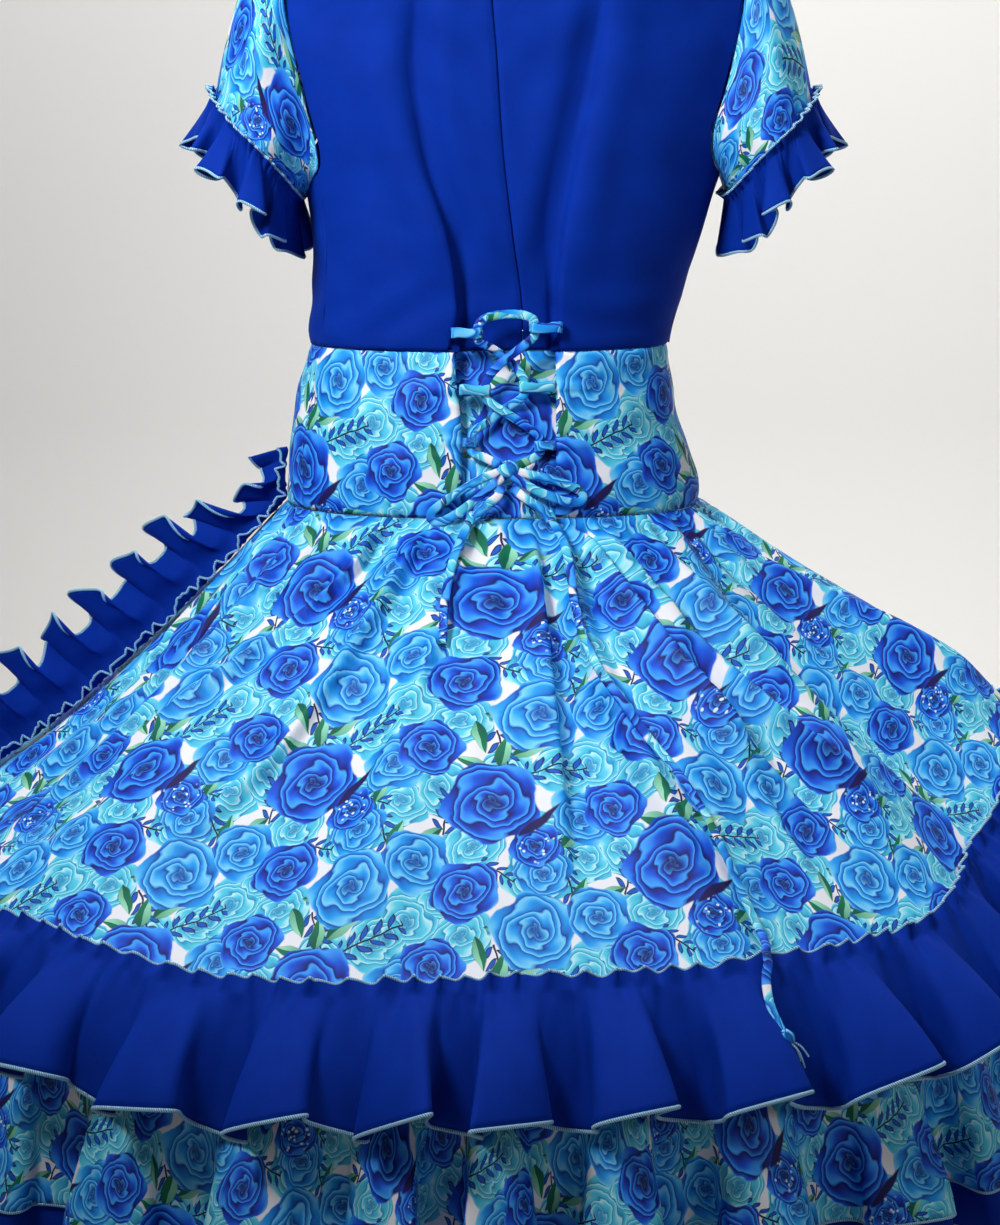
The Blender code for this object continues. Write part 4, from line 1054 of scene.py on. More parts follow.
class Bodice:
    """The plain bodice: two back halves with long darts, and a front."""

    MIDDLE = (-0.005, 0.0, -0.26)

    @staticmethod
    def _creases(z: Grid, x: Grid) -> Grid:
        """Soft pulls in the cloth: from the armholes to the darts, and into the waist."""
        slanted = z + 0.35 * np.abs(x)
        pulls = 0.001 * np.sin(slanted * 150.0 + 2.0 * np.sin(x * 30.0)) * bell(z + 0.375, 0.03)
        armhole = 0.0022 * np.sin((np.abs(x) - 0.6 * z) * 62.0) * bell(np.abs(x) - 0.165, 0.035)
        armhole = armhole * bell(z + 0.27, 0.06)
        shoulder = 0.0014 * np.sin((z - 0.5 * np.abs(x)) * 75.0 + 1.0) * bell(z + 0.13, 0.06)
        return pulls + armhole + shoulder + 0.0006 * np.sin(x * 95.0 + z * 40.0)

    @classmethod
    def back(cls, sign: float) -> Mesh:
        """One half of the back.

        Args:
            sign: -1 for the left half and 1 for the right one.

        Returns:
            The half's points.
        """
        across = np.concatenate([np.linspace(0.0, 0.06, 8)[:-1], np.linspace(0.06, 1.0, 66)])
        across, up = np.meshgrid(across, 1.0 - np.linspace(0.0, 1.0, 100))
        points = Form.bodice_back(sign, across, up)
        x, z = points[..., 0], points[..., 2]
        seam_x, waist = RECESS.read("seam_x", z), WAIST_Z + SEAM_GAP
        heights = -0.0014 * bell(x - seam_x, 0.0028)
        heights = heights - 0.0022 * bell(z - waist, 0.0045) * (1.0 + 0.2 * np.sin(x * 210.0))
        dart_x = RECESS.read("left_x" if sign < 0 else "right_x", z) - sign * 0.002
        dart = bell(x - dart_x, 0.0042) * ease((z + 0.42) / 0.03) * (1.0 - ease((z + 0.19) / 0.12))
        stitched = bell(x - dart_x + sign * 0.001, 0.0011) * (1.0 - ease((z + 0.335) / 0.02))
        heights = heights - 0.003 * dart - 0.0012 * stitched
        tall = ease((z + 0.36) / 0.05) * (1.0 - ease((z + 0.17) / 0.11))
        fold_x = dart_x - sign * 0.004
        heights = heights - 0.006 * bell(x - fold_x, 0.011) * tall
        heights = heights + 0.0035 * bell(x - fold_x - sign * 0.026, 0.016) * tall
        heights = heights + 0.002 * bell(x - fold_x + sign * 0.022, 0.012) * tall
        heights = heights + cls._creases(z, x - 0.3 * seam_x) * ease(across / 0.08)
        heights = heights * (1.0 - ease((up - 0.93) / 0.07))
        points = lifted(points, heights, cls.MIDDLE)
        return Mesh(points, unrolled(points))

    @classmethod
    def front(cls) -> Mesh:
        """The front."""
        across, up = np.meshgrid(np.linspace(0.0, 1.0, 121), 1.0 - np.linspace(0.0, 1.0, 80))
        points = Form.bodice_front(across, up)
        x, z = points[..., 0], points[..., 2]
        dart = bell(np.abs(x + 0.005) - 0.078, 0.004) * (1.0 - ease((z + 0.27) / 0.06))
        heights = cls._creases(z, x * 0.9 + 0.01) - 0.0016 * dart
        heights = heights - 0.0022 * bell(z - WAIST_Z - SEAM_GAP, 0.0045)
        heights = heights * (1.0 - ease((up - 0.93) / 0.07))
        heights = heights * ease(across / 0.03) * ease((1.0 - across) / 0.03)
        points = lifted(points, heights, cls.MIDDLE)
        return Mesh(points, unrolled(points))


class Yoke:
    """The laced hip yoke, in print."""

    MIDDLE = (-0.02, 0.0, -0.47)

    @classmethod
    def panel(cls, start: str | float, end: str | float, columns: int) -> Mesh:
        """A panel between two edges.

        Args:
            start: A column of the recess table that the first edge follows, or its angle.
            end: As start, for the other edge.
            columns: The number of points across.

        Returns:
            The panel's points.
        """
        across, down = squares(columns, 44)
        z = lerp(WAIST_Z - SEAM_GAP, HIP_Z + SEAM_GAP, down)
        edges = [
            Form.angle_of(z, RECESS.read(edge, z)) if isinstance(edge, str) else edge
            for edge in (start, end)
        ]
        degrees = lerp(edges[0], edges[1], across)
        points = Form.yoke(degrees, down)
        x = points[..., 0]
        heights = -0.002 * (bell(z - WAIST_Z, 0.0045) + bell(z - HIP_Z, 0.004))
        heights = heights + 0.0007 * np.sin(x * 120.0 + z * 60.0) + 0.0006 * np.sin(x * 61.0 - z * 130.0)
        for tab in Lacing.TABS:
            near = bell(z - tab.z, 0.012) * bell(x - tab.start_x, 0.035)
            heights = heights + 0.0016 * near * np.cos((z - tab.z) * 520.0)
        if isinstance(start, str) or isinstance(end, str):
            edge = across if isinstance(start, str) else 1.0 - across
            heights = heights - 0.0012 * bell(edge, 0.02) - 0.0007 * bell(edge - 0.075, 0.014)
        points = lifted(points, heights, cls.MIDDLE)
        return Mesh(points, unrolled(points))

    @staticmethod
    def centre() -> Mesh:
        """The sunk strip behind the lacing."""
        across, down = squares(30, 44)
        z = lerp(WAIST_Z - SEAM_GAP, HIP_Z + SEAM_GAP, down)
        left, right = RECESS.read("left_x", z) - 0.0035, RECESS.read("right_x", z) + 0.0035
        x, y = Form.torso(z, Form.angle_of(z, lerp(left, right, across)))
        wave = 0.0011 * np.sin(z * 150.0 + x * 90.0) + 0.0012 * bell(x - 0.004 + 0.3 * (z + 0.45), 0.004)
        points = vec(x, y + RECESS.read("depth", z) + 0.0002 - wave * np.sin(math.pi * across), z)
        return Mesh(points, np.stack([x, z], axis=-1))


class Skirt:
    """The full print skirt, with the creases that fan out of the lacing and the hip seam."""

    CIRCLE_SHARE = 0.756
    INNER_RADIUS = 0.202
    SLANT = 0.415

    @staticmethod
    def point(degrees: Value, down: Value) -> Grid:
        """A point of the skirt with its small creases.

        Args:
            degrees: Angles round it.
            down: Shares of the way down.

        Returns:
            The points.
        """
        point, normal, _, _ = Form.skirt_frame(degrees, down)
        lift = 1.5 * sum(crease.height(degrees, down) for crease in CREASES)
        turn = np.radians(degrees)
        small = 0.0016 * np.sin(41.0 * turn + 3.0 * np.sin(5.0 * turn)) * bell(down - 0.1, 0.12)
        small = small + 0.0022 * np.sin(23.0 * turn + 2.0 * np.sin(3.0 * turn) + 2.0 * down)
        tucks = 0.001 * np.sin(96.0 * turn + 4.0 * np.sin(4.0 * turn)) * bell(down, 0.05)
        fade = (1.0 - ease((down - 0.72) / 0.26)) * ease(down / 0.05)
        return point + normal * ((lift + small) * fade + tucks * ease(down / 0.02))[..., None]

    @classmethod
    def mesh(cls) -> Mesh:
        """The whole skirt."""
        degrees, down = np.meshgrid(round_steps(360, 120), np.linspace(0.0, 1.0, 76))
        points = cls.point(degrees, down)
        far = cls.INNER_RADIUS + cls.SLANT * down
        turn = np.radians(degrees) * cls.CIRCLE_SHARE
        return Mesh(points, np.stack([far * np.sin(turn), -far * np.cos(turn)], axis=-1))

    @classmethod
    def cut(cls) -> Cut:
        """The circle that it was cut from."""
        outer = cls.INNER_RADIUS + cls.SLANT
        area = math.pi * cls.CIRCLE_SHARE * (outer**2 - cls.INNER_RADIUS**2)
        return Cut(2.0 * outer, 2.0 * outer, Held.HUNG, area)


@dataclass(frozen=True)
class Lobes:
    """How a gathered strip folds into rounded lobes with narrow recesses between them."""

    depth: float
    neck: float
    spread: float
    pucker: float
    puckers: int

    def folded(self, phase: Grid, turn: Grid, share: Grid, far: Grid) -> tuple[Grid, Grid, Grid]:
        """How far the strip's folds take it outwards and sideways.

        Args:
            phase: The wave's phase.
            turn: The place along the strip, in turns.
            share: How far down the strip, from 0 at its stitching.
            far: The same in metres.

        Returns:
            The outward and the sideways offset, and the fine puckers at the stitching.
        """
        uneven = 1.0 + wobble(turn, (5, 0.4, 0.16), (11, 2.0, 0.14), (17, 1.0, 0.1))
        crest = np.sin(phase + wobble(turn, (8, 0.3, 0.35), (13, 1.1, 0.3)) * share)
        crest = crest - 0.25 * bell(turned(np.degrees(phase) + 90.0), 34.0)
        split = 0.3 * np.sin(1.5 * phase + 1.0 + wobble(turn, (6, 0.2, 0.9)))
        out = self.depth * share * uneven * (crest + split + 0.1 * np.sin(3.0 * phase + 1.0))
        out = np.maximum(out, -1.05 * self.depth * share)
        side = -share * (self.neck * np.sin(2.0 * phase) + self.spread * np.cos(phase))
        fine = 2.0 * math.pi * self.puckers * turn + wobble(turn, (9, 0.0, 2.4), (23, 1.0, 1.7))
        below = np.maximum(far, 0.0)
        gathers = (0.5 + 0.5 * np.sin(fine)) * np.exp(-below / 0.022)
        gathers = gathers + 0.35 * np.sin(fine * 0.5) * np.exp(-below / 0.045) * ease(far / 0.01)
        return out, side, self.pucker * gathers


class Ruffles:
    """The gathered strips below the skirt and down its left side."""

    RING = Lobes(0.024, 0.0125, 0.005, 0.0028, 170)
    FLOUNCE = Lobes(0.022, 0.011, 0.0045, 0.0012, 150)
    SIDE = Lobes(0.02, 0.0062, 0.003, 0.0014, 40)

    @staticmethod
    def rows(heading: float, depth: float, above: int, below: int) -> Grid:
        """Places down a strip, closer together at its stitching."""
        top = np.linspace(-heading, 0.0, above, endpoint=False)
        return np.concatenate([top, depth * np.linspace(0.0, 1.0, below) ** 1.25])

    @staticmethod
    def heading(turn: Grid, share: Grid, fold: float, waves: int) -> Grid:
        """The wavy lift of a heading's edge."""
        phase = 2.0 * math.pi * waves * turn + wobble(turn, (7, 0.0, 1.6), (19, 1.0, 1.3))
        return fold * share * (np.sin(phase) + 0.35 * np.sin(2.0 * phase + 0.6))

    @classmethod
    def ring(cls) -> Mesh:
        """The first ruffle, plain, with a standing heading."""
        degrees = round_steps(1040, 340)
        far = cls.rows(RUFFLE_HEADING, RUFFLE_DEPTH, 4, 22)[:, None]
        turn = degrees / 360.0
        point, normal, fall, side = Form.skirt_frame(degrees, STITCH_AT)
        out = out_of(degrees)
        phase = Form.wave_at(degrees, RUFFLE_WAVES, 0.5)
        uneven = wobble(turn, (14, 1.0, 0.5), (31, 0.2, 0.5))
        share = far / RUFFLE_DEPTH
        outwards, downwards = Form.ruffle_hang(far, fall)
        lift, swing, fine = cls.RING.folded(phase, turn, np.maximum(share, 0.0), far)
        hung = point + normal * (STITCHED + fine)[..., None] + out * (outwards + lift)[..., None]
        hung = hung + side * swing[..., None]
        hung[..., 2] -= downwards - 0.5 * lift + share * (0.003 * uneven + 0.007 * np.cos(phase))
        up = -far / RUFFLE_HEADING
        wave = cls.heading(turn, up, 0.0034, 132) + cls.heading(turn, up, 0.0012, 61)
        standing = lerp(STITCHED, 0.0062, up) + wave + fine * (1.0 - 0.4 * up)
        curl = np.cos(2.0 * math.pi * 132 * turn + wobble(turn, (7, 0.0, 1.6), (19, 1.0, 1.3)))
        tall = far * (1.0 + 0.14 * uneven)
        above = point + fall * tall[..., None] + normal * standing[..., None]
        above = above + side * (0.0026 * up * curl)[..., None]
        return cls.strip(np.where((far < 0.0)[..., None], above, hung), far)

    @staticmethod
    def strip(points: Grid, far: Grid) -> Mesh:
        """A strip that lies flat along its lower edge, and across it."""
        along = arc_lengths(points[-1])
        return Mesh(points, np.stack(np.broadcast_arrays(along, -far), axis=-1))

    @classmethod
    def _flounce(cls, far: Grid) -> tuple[Grid, Grid]:
        """The print flounce's points at distances down it, and their flat coordinates."""
        degrees = round_steps(760, 240)
        turn = degrees / 360.0
        point, _, fall, side = Form.skirt_frame(degrees, 1.0)
        share = far / FLOUNCE_DEPTH
        phase = Form.wave_at(degrees, FLOUNCE_WAVES, 0.7) + 0.5
        outwards, downwards = Form.hanging(far, FLOUNCE_DEPTH, FLOUNCE_TOP_LEAN, FLOUNCE_LEAN)
        lift, swing, fine = cls.FLOUNCE.folded(phase, turn, ease((share - 0.28) / 0.72), far)
        over = np.maximum(share - 1.0, 0.0)
        pushed = outwards + lift * (1.0 + over) + fine
        points = point + fall * 0.0012 + out_of(degrees) * pushed[..., None]
        points = points + side * swing[..., None]
        points[..., 2] -= downwards
        reference = arc_lengths(points[np.argmin(np.abs(far[:, 0] - FLOUNCE_DEPTH))])
        return points, np.stack(np.broadcast_arrays(reference, -far), axis=-1)

    @classmethod
    def flounce(cls) -> Mesh:
        """The print flounce under the first ruffle."""
        return Mesh(*cls._flounce(np.linspace(0.0, FLOUNCE_DEPTH, 32)[:, None]))

    @classmethod
    def under_flounce(cls) -> Mesh:
        """The plain flounce sewn inside the print one, showing below its hem."""
        far = np.linspace(FLOUNCE_DEPTH * 2.0 / 3.0, FLOUNCE_DEPTH + HEM_SHOWS, 16)[:, None]
        points, flat = cls._flounce(far)
        inset = lerp(0.0018, 0.004, np.linspace(0.0, 1.0, 16))[:, None]
        normals = Mesh(points, flat).normals()
        centre = np.array((AXIS_X, 0.0, -0.9))
        outward = (points - centre) * normals * (1.0, 1.0, 0.0)
        facing = np.sign(outward.sum(axis=-1, keepdims=True).mean())
        return Mesh(points - normals * facing * inset[..., None], flat)

    @staticmethod
    def _side_frame(down: Grid) -> tuple[Grid, ...]:
        """As the skirt's frame, down the left side; below 0 it goes on up the yoke."""
        point, normal, fall, side = Form.skirt_frame(SIDE_AT, np.maximum(down, 0.02))
        upper = Form.yoke(SIDE_AT, 1.0 + down * 3.0)
        lower = Form.skirt(SIDE_AT, np.maximum(down, 0.0))
        point = np.where((down < 0.0)[..., None], upper, np.where((down < 0.02)[..., None], lower, point))
        upright = ease((SIDE_TURNED - down) / (SIDE_TURNED - SIDE_TOP))[..., None]
        normal = unit(lerp(normal, np.array((-1.0, 0.0, 0.0)), upright))
        fall = unit(lerp(fall, np.array((0.0, 0.0, -1.0)), upright))
        return point, normal, fall, side

    @classmethod
    def side(cls) -> Mesh:
        """The ruffle down the left side seam."""
        along = np.linspace(0.0, 1.0, 300)
        far = cls.rows(SIDE_HEADING, SIDE_DEPTH, 4, 18)[:, None]
        point, normal, fall, side = cls._side_frame(lerp(SIDE_TOP, SIDE_END, along))
        phase = 2.0 * math.pi * SIDE_WAVES * along + 0.5 * np.sin(5.0 * along) + math.pi / 2.0
        share = far / SIDE_DEPTH
        reach = far * lerp(0.45, 1.0, ease(along / 0.3))
        turn = np.radians(lerp(20.0, 75.0, ease(share * 2.0)))[..., None]
        lift, swing, fine = cls.SIDE.folded(phase, along, np.maximum(share, 0.0), far)
        narrow = lerp(0.55, 1.0, ease(along / 0.25))
        hung = point + (-side * np.cos(turn) + normal * np.sin(turn)) * reach[..., None]
        hung = hung + fall * (share * 0.01 + swing * narrow)[..., None]
        hung = hung + normal * (0.7 * lift * narrow + 0.0022 + fine)[..., None]
        hung = hung + side * (0.016 * narrow * share * np.cos(phase))[..., None]
        up = -far / SIDE_HEADING
        wave = cls.heading(along, up, 0.0034, 21)
        above = point - side * far[..., None] + normal * (lerp(0.0022, 0.0062, up) + wave + fine)[..., None]
        return cls.strip(np.where((far < 0.0)[..., None], above, hung), far)


class Sleeve:
    """A short loose sleeve with a ruffle round its hem."""

    LOBES = Lobes(0.013, 0.0062, 0.0022, 0.0014, 52)

    def __init__(self, sign: float) -> None:
        """Takes the side: -1 for the left sleeve and 1 for the right one."""
        self.sign = sign

    def _armhole(self, turn: Grid) -> Grid:
        """The armhole; turn runs 0 at the shoulder, by the back, 0.5 at the underarm."""
        z = lerp(SHOULDER_Z, UNDERARM_Z, 0.5 - 0.5 * np.cos(2.0 * math.pi * turn))
        up = (z - WAIST_Z - SEAM_GAP) / (SHOULDER_Z - WAIST_Z - SEAM_GAP)
        back = Form.bodice_back(self.sign, 1.0, up)
        front = Form.bodice_front(0.0 if self.sign > 0 else 1.0, up)
        return np.where((turn % 1.0 < 0.5)[..., None], back, front)

    def _middle(self, down: Value) -> Grid:
        """The sleeve's middle at a share of the way down it."""
        arm, hem = SLEEVE_ARM, SLEEVE_HEM
        return vec(self.sign * lerp(arm[0], hem[0], down), 0.0, lerp(arm[1], hem[1], down))

    def _hem(self, turn: Grid) -> Grid:
        """The hem, tilted as the arm hangs."""
        angle = 2.0 * math.pi * turn
        tilt = vec(self.sign * SLEEVE_TILT[0], 0.0, SLEEVE_TILT[1]) * np.cos(angle)[..., None]
        return self._middle(1.0) + tilt + vec(0.0, -SLEEVE_HALF_DEPTH * np.sin(angle), 0.0)

    def point(self, turn: Value, down: Value) -> Grid:
        """A point of the sleeve's form.

        Args:
            turn: Places round it, in turns.
            down: Shares of the way down it.

        Returns:
            The points.
        """
        turn, down = np.broadcast_arrays(np.asarray(turn, float), np.asarray(down, float))
        outer = 0.5 + 0.5 * np.cos(2.0 * math.pi * turn)
        start = self._armhole(turn) + vec(self.sign * lerp(0.0026, 0.0016, outer), 0.0, 0.0)
        point = lerp(start, self._hem(turn), down[..., None])
        swell = 0.014 * np.sin(math.pi * down) * outer
        return point + unit(point - self._middle(down)) * swell[..., None]

    def mesh(self) -> Mesh:
        """The sleeve."""
        turn, down = squares(121, 44)
        points = self.point(turn, down)
        drag = wobble(turn + 0.05 * down, (6, 0.6, 0.0016), (9, 2.0, 0.0013), (4, 1.0, 0.0018))
        gathers = wobble(turn, (30, 0.0, 0.001), (41, 1.0, 0.0007)) * bell(down - 1.0, 0.12)
        heights = (drag * np.sin(math.pi * down) + gathers) * ease(down / 0.1)
        points = points + unit(points - self._middle(down)) * heights[..., None]
        along, fallen = turn * 0.4 * self.sign, -down * 0.125 + 0.03 * np.cos(2.0 * math.pi * turn)
        return Mesh(points, np.stack([along, fallen], axis=-1))

    def ruffle(self) -> Mesh:
        """The ruffle, with its standing heading."""
        turn = np.linspace(0.0, 1.0, 361)
        far = Ruffles.rows(SLEEVE_HEADING, SLEEVE_DEPTH, 3, 15)[:, None]
        hem = self.point(turn, SLEEVE_STITCH_AT)
        fall = unit(self.point(turn, 1.0) - self.point(turn, 0.98))
        side = unit(self.point(turn + 0.005, SLEEVE_STITCH_AT) - self.point(turn - 0.005, SLEEVE_STITCH_AT))
        normal = unit(np.cross(fall, side))
        outward = ((hem - self._middle(1.0)) * normal).sum(axis=-1)
        normal = normal * np.where(outward < 0.0, -1.0, 1.0)[:, None]
        fall = unit(fall + np.array((0.0, 0.0, -0.9)))
        phase = 2.0 * math.pi * SLEEVE_WAVES * turn + 0.6 * np.sin(4.0 * math.pi * turn)
        share = far / SLEEVE_DEPTH
        lift, swing, fine = self.LOBES.folded(phase, turn, np.maximum(share, 0.0), far)
        hung = hem + fall * far[..., None] + normal * (0.0028 + 0.006 * share + lift + fine)[..., None]
        hung = hung + side * swing[..., None] + fall * (0.007 * share * np.cos(phase + 0.4))[..., None]
        up = -far / SLEEVE_HEADING
        wave = Ruffles.heading(turn, up, 0.0022, 38)
        above = hem + fall * far[..., None] + normal * (lerp(0.0028, 0.0062, up) + wave + fine)[..., None]
        return Ruffles.strip(np.where((far < 0.0)[..., None], above, hung), far)


@dataclass(frozen=True)
class Tab:
    """A small flat loop of cloth that the lace goes through."""

    side: str
    number: int
    z: float
    start_x: float
    end_x: float
    lies_on: bool


class Lacing:
    """The tabs, the lace with its bow, and its two tails."""

    TAB_WIDTH = 0.0085
    TAB_HALF = 0.0034
    LACE_HALF = (0.0036, 0.0013)
    TABS = (
        Tab("left", 1, -0.384, -0.05, -0.0255, True),
        Tab("right", 1, -0.38, 0.0385, 0.0125, True),
        Tab("left", 2, -0.43, -0.0436, -0.019, False),
        Tab("right", 2, -0.428, 0.033, 0.0045, False),
        Tab("left", 3, -0.4715, -0.041, -0.03, False),
        Tab("right", 3, -0.4745, 0.033, 0.017, False),
    )
    # The lace's way through the tabs, from the left of the bow knot to its right
    LACE = (
        (-0.0114, -0.1122, -0.4893), (-0.023, -0.1095, -0.484), (-0.0336, -0.1078, -0.4795),
        (-0.0338, -0.1078, -0.4715), (-0.0334, -0.1074, -0.4635), (-0.023, -0.102, -0.457),
        (-0.008, -0.0975, -0.446), (0.002, -0.0975, -0.44), (0.008, -0.0978, -0.4345),
        (0.008, -0.0978, -0.428), (0.008, -0.0978, -0.4215), (0.001, -0.097, -0.412),
        (-0.007, -0.0968, -0.4045), (-0.019, -0.101, -0.396), (-0.0291, -0.1047, -0.3905),
        (-0.0291, -0.1047, -0.384), (-0.0285, -0.1047, -0.3775), (-0.0235, -0.1045, -0.3725),
        (-0.014, -0.1035, -0.37), (-0.003, -0.1025, -0.369), (0.008, -0.1018, -0.37),
        (0.0156, -0.1018, -0.3737), (0.0161, -0.1018, -0.38), (0.0161, -0.1018, -0.3865),
        (0.0075, -0.1022, -0.3945), (-0.006, -0.1026, -0.4045), (-0.0165, -0.1024, -0.4145),
        (-0.0226, -0.1022, -0.4235), (-0.0226, -0.1022, -0.43), (-0.0226, -0.1022, -0.4365),
        (-0.0165, -0.1028, -0.442), (-0.007, -0.1036, -0.448), (0.01, -0.104, -0.459),
        (0.0206, -0.1042, -0.468), (0.0206, -0.1042, -0.4745), (0.0206, -0.1042, -0.481),
        (0.013, -0.108, -0.4855), (0.0032, -0.1122, -0.4898),
    )
    KNOT = (-0.0043, -0.112, -0.4925)
    LOOP_LEFT = (
        (-0.006, -0.112, -0.493), (-0.022, -0.114, -0.4985), (-0.034, -0.1155, -0.5045),
        (-0.048, -0.1165, -0.513), (-0.06, -0.117, -0.5215), (-0.0665, -0.1172, -0.527),
        (-0.0665, -0.118, -0.5325), (-0.06, -0.119, -0.5345), (-0.048, -0.1192, -0.529),
        (-0.036, -0.119, -0.5205), (-0.024, -0.118, -0.511), (-0.006, -0.1135, -0.496),
    )
    LOOP_RIGHT = (
        (-0.003, -0.1122, -0.4935), (0.016, -0.114, -0.4975), (0.028, -0.114, -0.5),
        (0.04, -0.1132, -0.504), (0.051, -0.1122, -0.509), (0.056, -0.112, -0.514),
        (0.052, -0.1135, -0.519), (0.04, -0.1155, -0.518), (0.028, -0.1165, -0.5135),
        (0.016, -0.1165, -0.5085), (-0.002, -0.114, -0.4975),
    )
    # A tail's way over the cloth: the angle, the share of the way down the skirt and the lift
    SHORT_TAIL = (
        (1.7, -0.205, 0.0035), (0.9, -0.15, 0.0045), (-0.7, -0.1, 0.005), (-2.4, -0.05, 0.0052),
        (-4.2, 0.01, 0.005), (-5.6, 0.06, 0.0042), (-7.0, 0.11, 0.0038), (-7.6, 0.16, 0.0036),
        (-7.7, 0.215, 0.0036), (-7.4, 0.293, 0.0036),
    )
    LONG_TAIL = (
        (4.0, -0.2, 0.0035), (5.6, -0.155, 0.005), (8.0, -0.11, 0.0058), (10.4, -0.065, 0.006),
        (12.2, -0.005, 0.0055), (13.3, 0.06, 0.0042), (14.2, 0.13, 0.0052), (14.9, 0.2, 0.0054),
        (16.2, 0.293, 0.0044), (17.7, 0.392, 0.0036), (19.8, 0.5, 0.0036), (22.2, 0.595, 0.0036),
        (23.7, 0.688, 0.0036), (24.5, 0.78, 0.0036), (25.2, 0.87, 0.0038), (25.5, 0.92, 0.006),
        (25.3, 0.955, 0.0115), (24.9, 0.99, 0.013), (24.3, 1.12, 0.0105), (24.0, 1.32, 0.0105),
        (24.3, 1.53, 0.012),
    )
    END_KNOT = (24.5, 1.59, 0.012)
    FRAYS = (
        (0.01, -0.003, -0.016), (0.016, -0.001, -0.013), (0.004, -0.004, -0.02),
        (0.013, -0.005, -0.02),
    )
    FRAY_HALF = (0.0007, 0.0006)
    TAIL_LIFT = 0.0028

    @staticmethod
    def on_cloth(stops: Sequence) -> tuple[Grid, Grid]:
        """Points that lie on the yoke, the skirt or the first ruffle, with the cloth's normals."""
        degrees, down, lift = np.array(stops, float).reshape(-1, 3).T
        point, normal, fall, _ = Form.skirt_frame(degrees, np.clip(down, 0.0, STITCH_AT))
        point = np.where((down < 0.9)[:, None], Skirt.point(degrees, np.clip(down, 0.0, 0.9)), point)
        z = HIP_Z + down * (HIP_Z - WAIST_Z)
        x, y = Form.torso(z, degrees)
        far = np.maximum(down - 1.0, 0.0) * RUFFLE_DEPTH
        outwards, downwards = Form.ruffle_hang(far, fall)
        point = point + unit(fall * (1.0, 1.0, 0.0)) * outwards[:, None]
        point[:, 2] -= downwards
        point = np.where((down < 0.0)[:, None], vec(x, y, z), point)
        normal = np.where((down < 0.0)[:, None], (0.0, -1.0, 0.0), normal)
        return point + normal * lift[:, None], normal

    @staticmethod
    def smoothed(stops: Grid, spacing: float = 0.0016) -> Grid:
        """Evenly spaced points on a smooth curve through the stops."""
        stops = np.asarray(stops, float)
        padded = np.concatenate([stops[:1], stops, stops[-1:]])
        t = np.linspace(0.0, 1.0, 16, endpoint=False)[:, None]
        fine = []
        for before, start, end, after in zip(padded, padded[1:], padded[2:], padded[3:]):
            curve = (end - before) * t + (2.0 * before - 5.0 * start + 4.0 * end - after) * t**2
            fine.append(0.5 * (2.0 * start + curve + (3.0 * start - before - 3.0 * end + after) * t**3))
        fine = np.concatenate([*fine, stops[-1:]])
        walked = arc_lengths(fine)
        places = np.linspace(0.0, walked[-1], max(2, round(walked[-1] / spacing)) + 1)
        return np.stack([np.interp(places, walked, fine[:, k]) for k in range(stops.shape[1])], axis=-1)

    @classmethod
    def tab(cls, tab: Tab) -> Mesh:
        """A tab's loop of cloth."""
        _, y = Form.torso(np.array(tab.z), Form.angle_of(tab.z, tab.start_x))
        y = y - (0.0056 if tab.lies_on else 0.0)
        way = math.copysign(1.0, tab.end_x - tab.start_x)
        straight = abs(tab.end_x - tab.start_x) - 2.0 * cls.TAB_HALF
        around, up = squares(49, 9)
        turn = 2.0 * math.pi * around
        half = 0.5 * straight * np.tanh(6.0 * np.cos(turn))
        reach = cls.TAB_HALF + 0.5 * straight + half + cls.TAB_HALF * np.cos(turn)
        pinched = 1.0 - 0.18 * bell(reach - 0.6 * straight, 0.007)
        z = tab.z + cls.TAB_WIDTH * (up - 0.5) * pinched
        bulge = cls.TAB_HALF * (0.75 + 0.25 * np.sin(math.pi * up)) * np.sin(turn)
        points = vec(tab.start_x + way * reach, y - bulge, z + 0.0006 * np.sin(reach * 300.0))
        return Mesh(points, np.stack([around * 0.06 + tab.z, z], axis=-1))

    @staticmethod
    def knot(size: tuple[float, float, float]) -> Mesh:
        """A drawn-tight knot: a rounded lump with the windings of the lace across it."""
        around, up = squares(49, 33)
        turn, tilt = 2.0 * math.pi * around, math.pi * (up - 0.5)
        wound = 1.0 + 0.1 * np.cos(2.0 * turn + 7.0 * (up - 0.5)) * np.cos(tilt)
        wound = wound - 0.16 * bell(np.sin(turn + 2.6 * up), 0.16) * np.cos(tilt)
        ball = vec(np.cos(turn) * np.cos(tilt), np.sin(turn) * np.cos(tilt), np.sin(tilt))
        points = ball * wound[..., None] * np.array(size)
        return Mesh(points, np.stack([around * 0.03, up * 0.02], axis=-1))


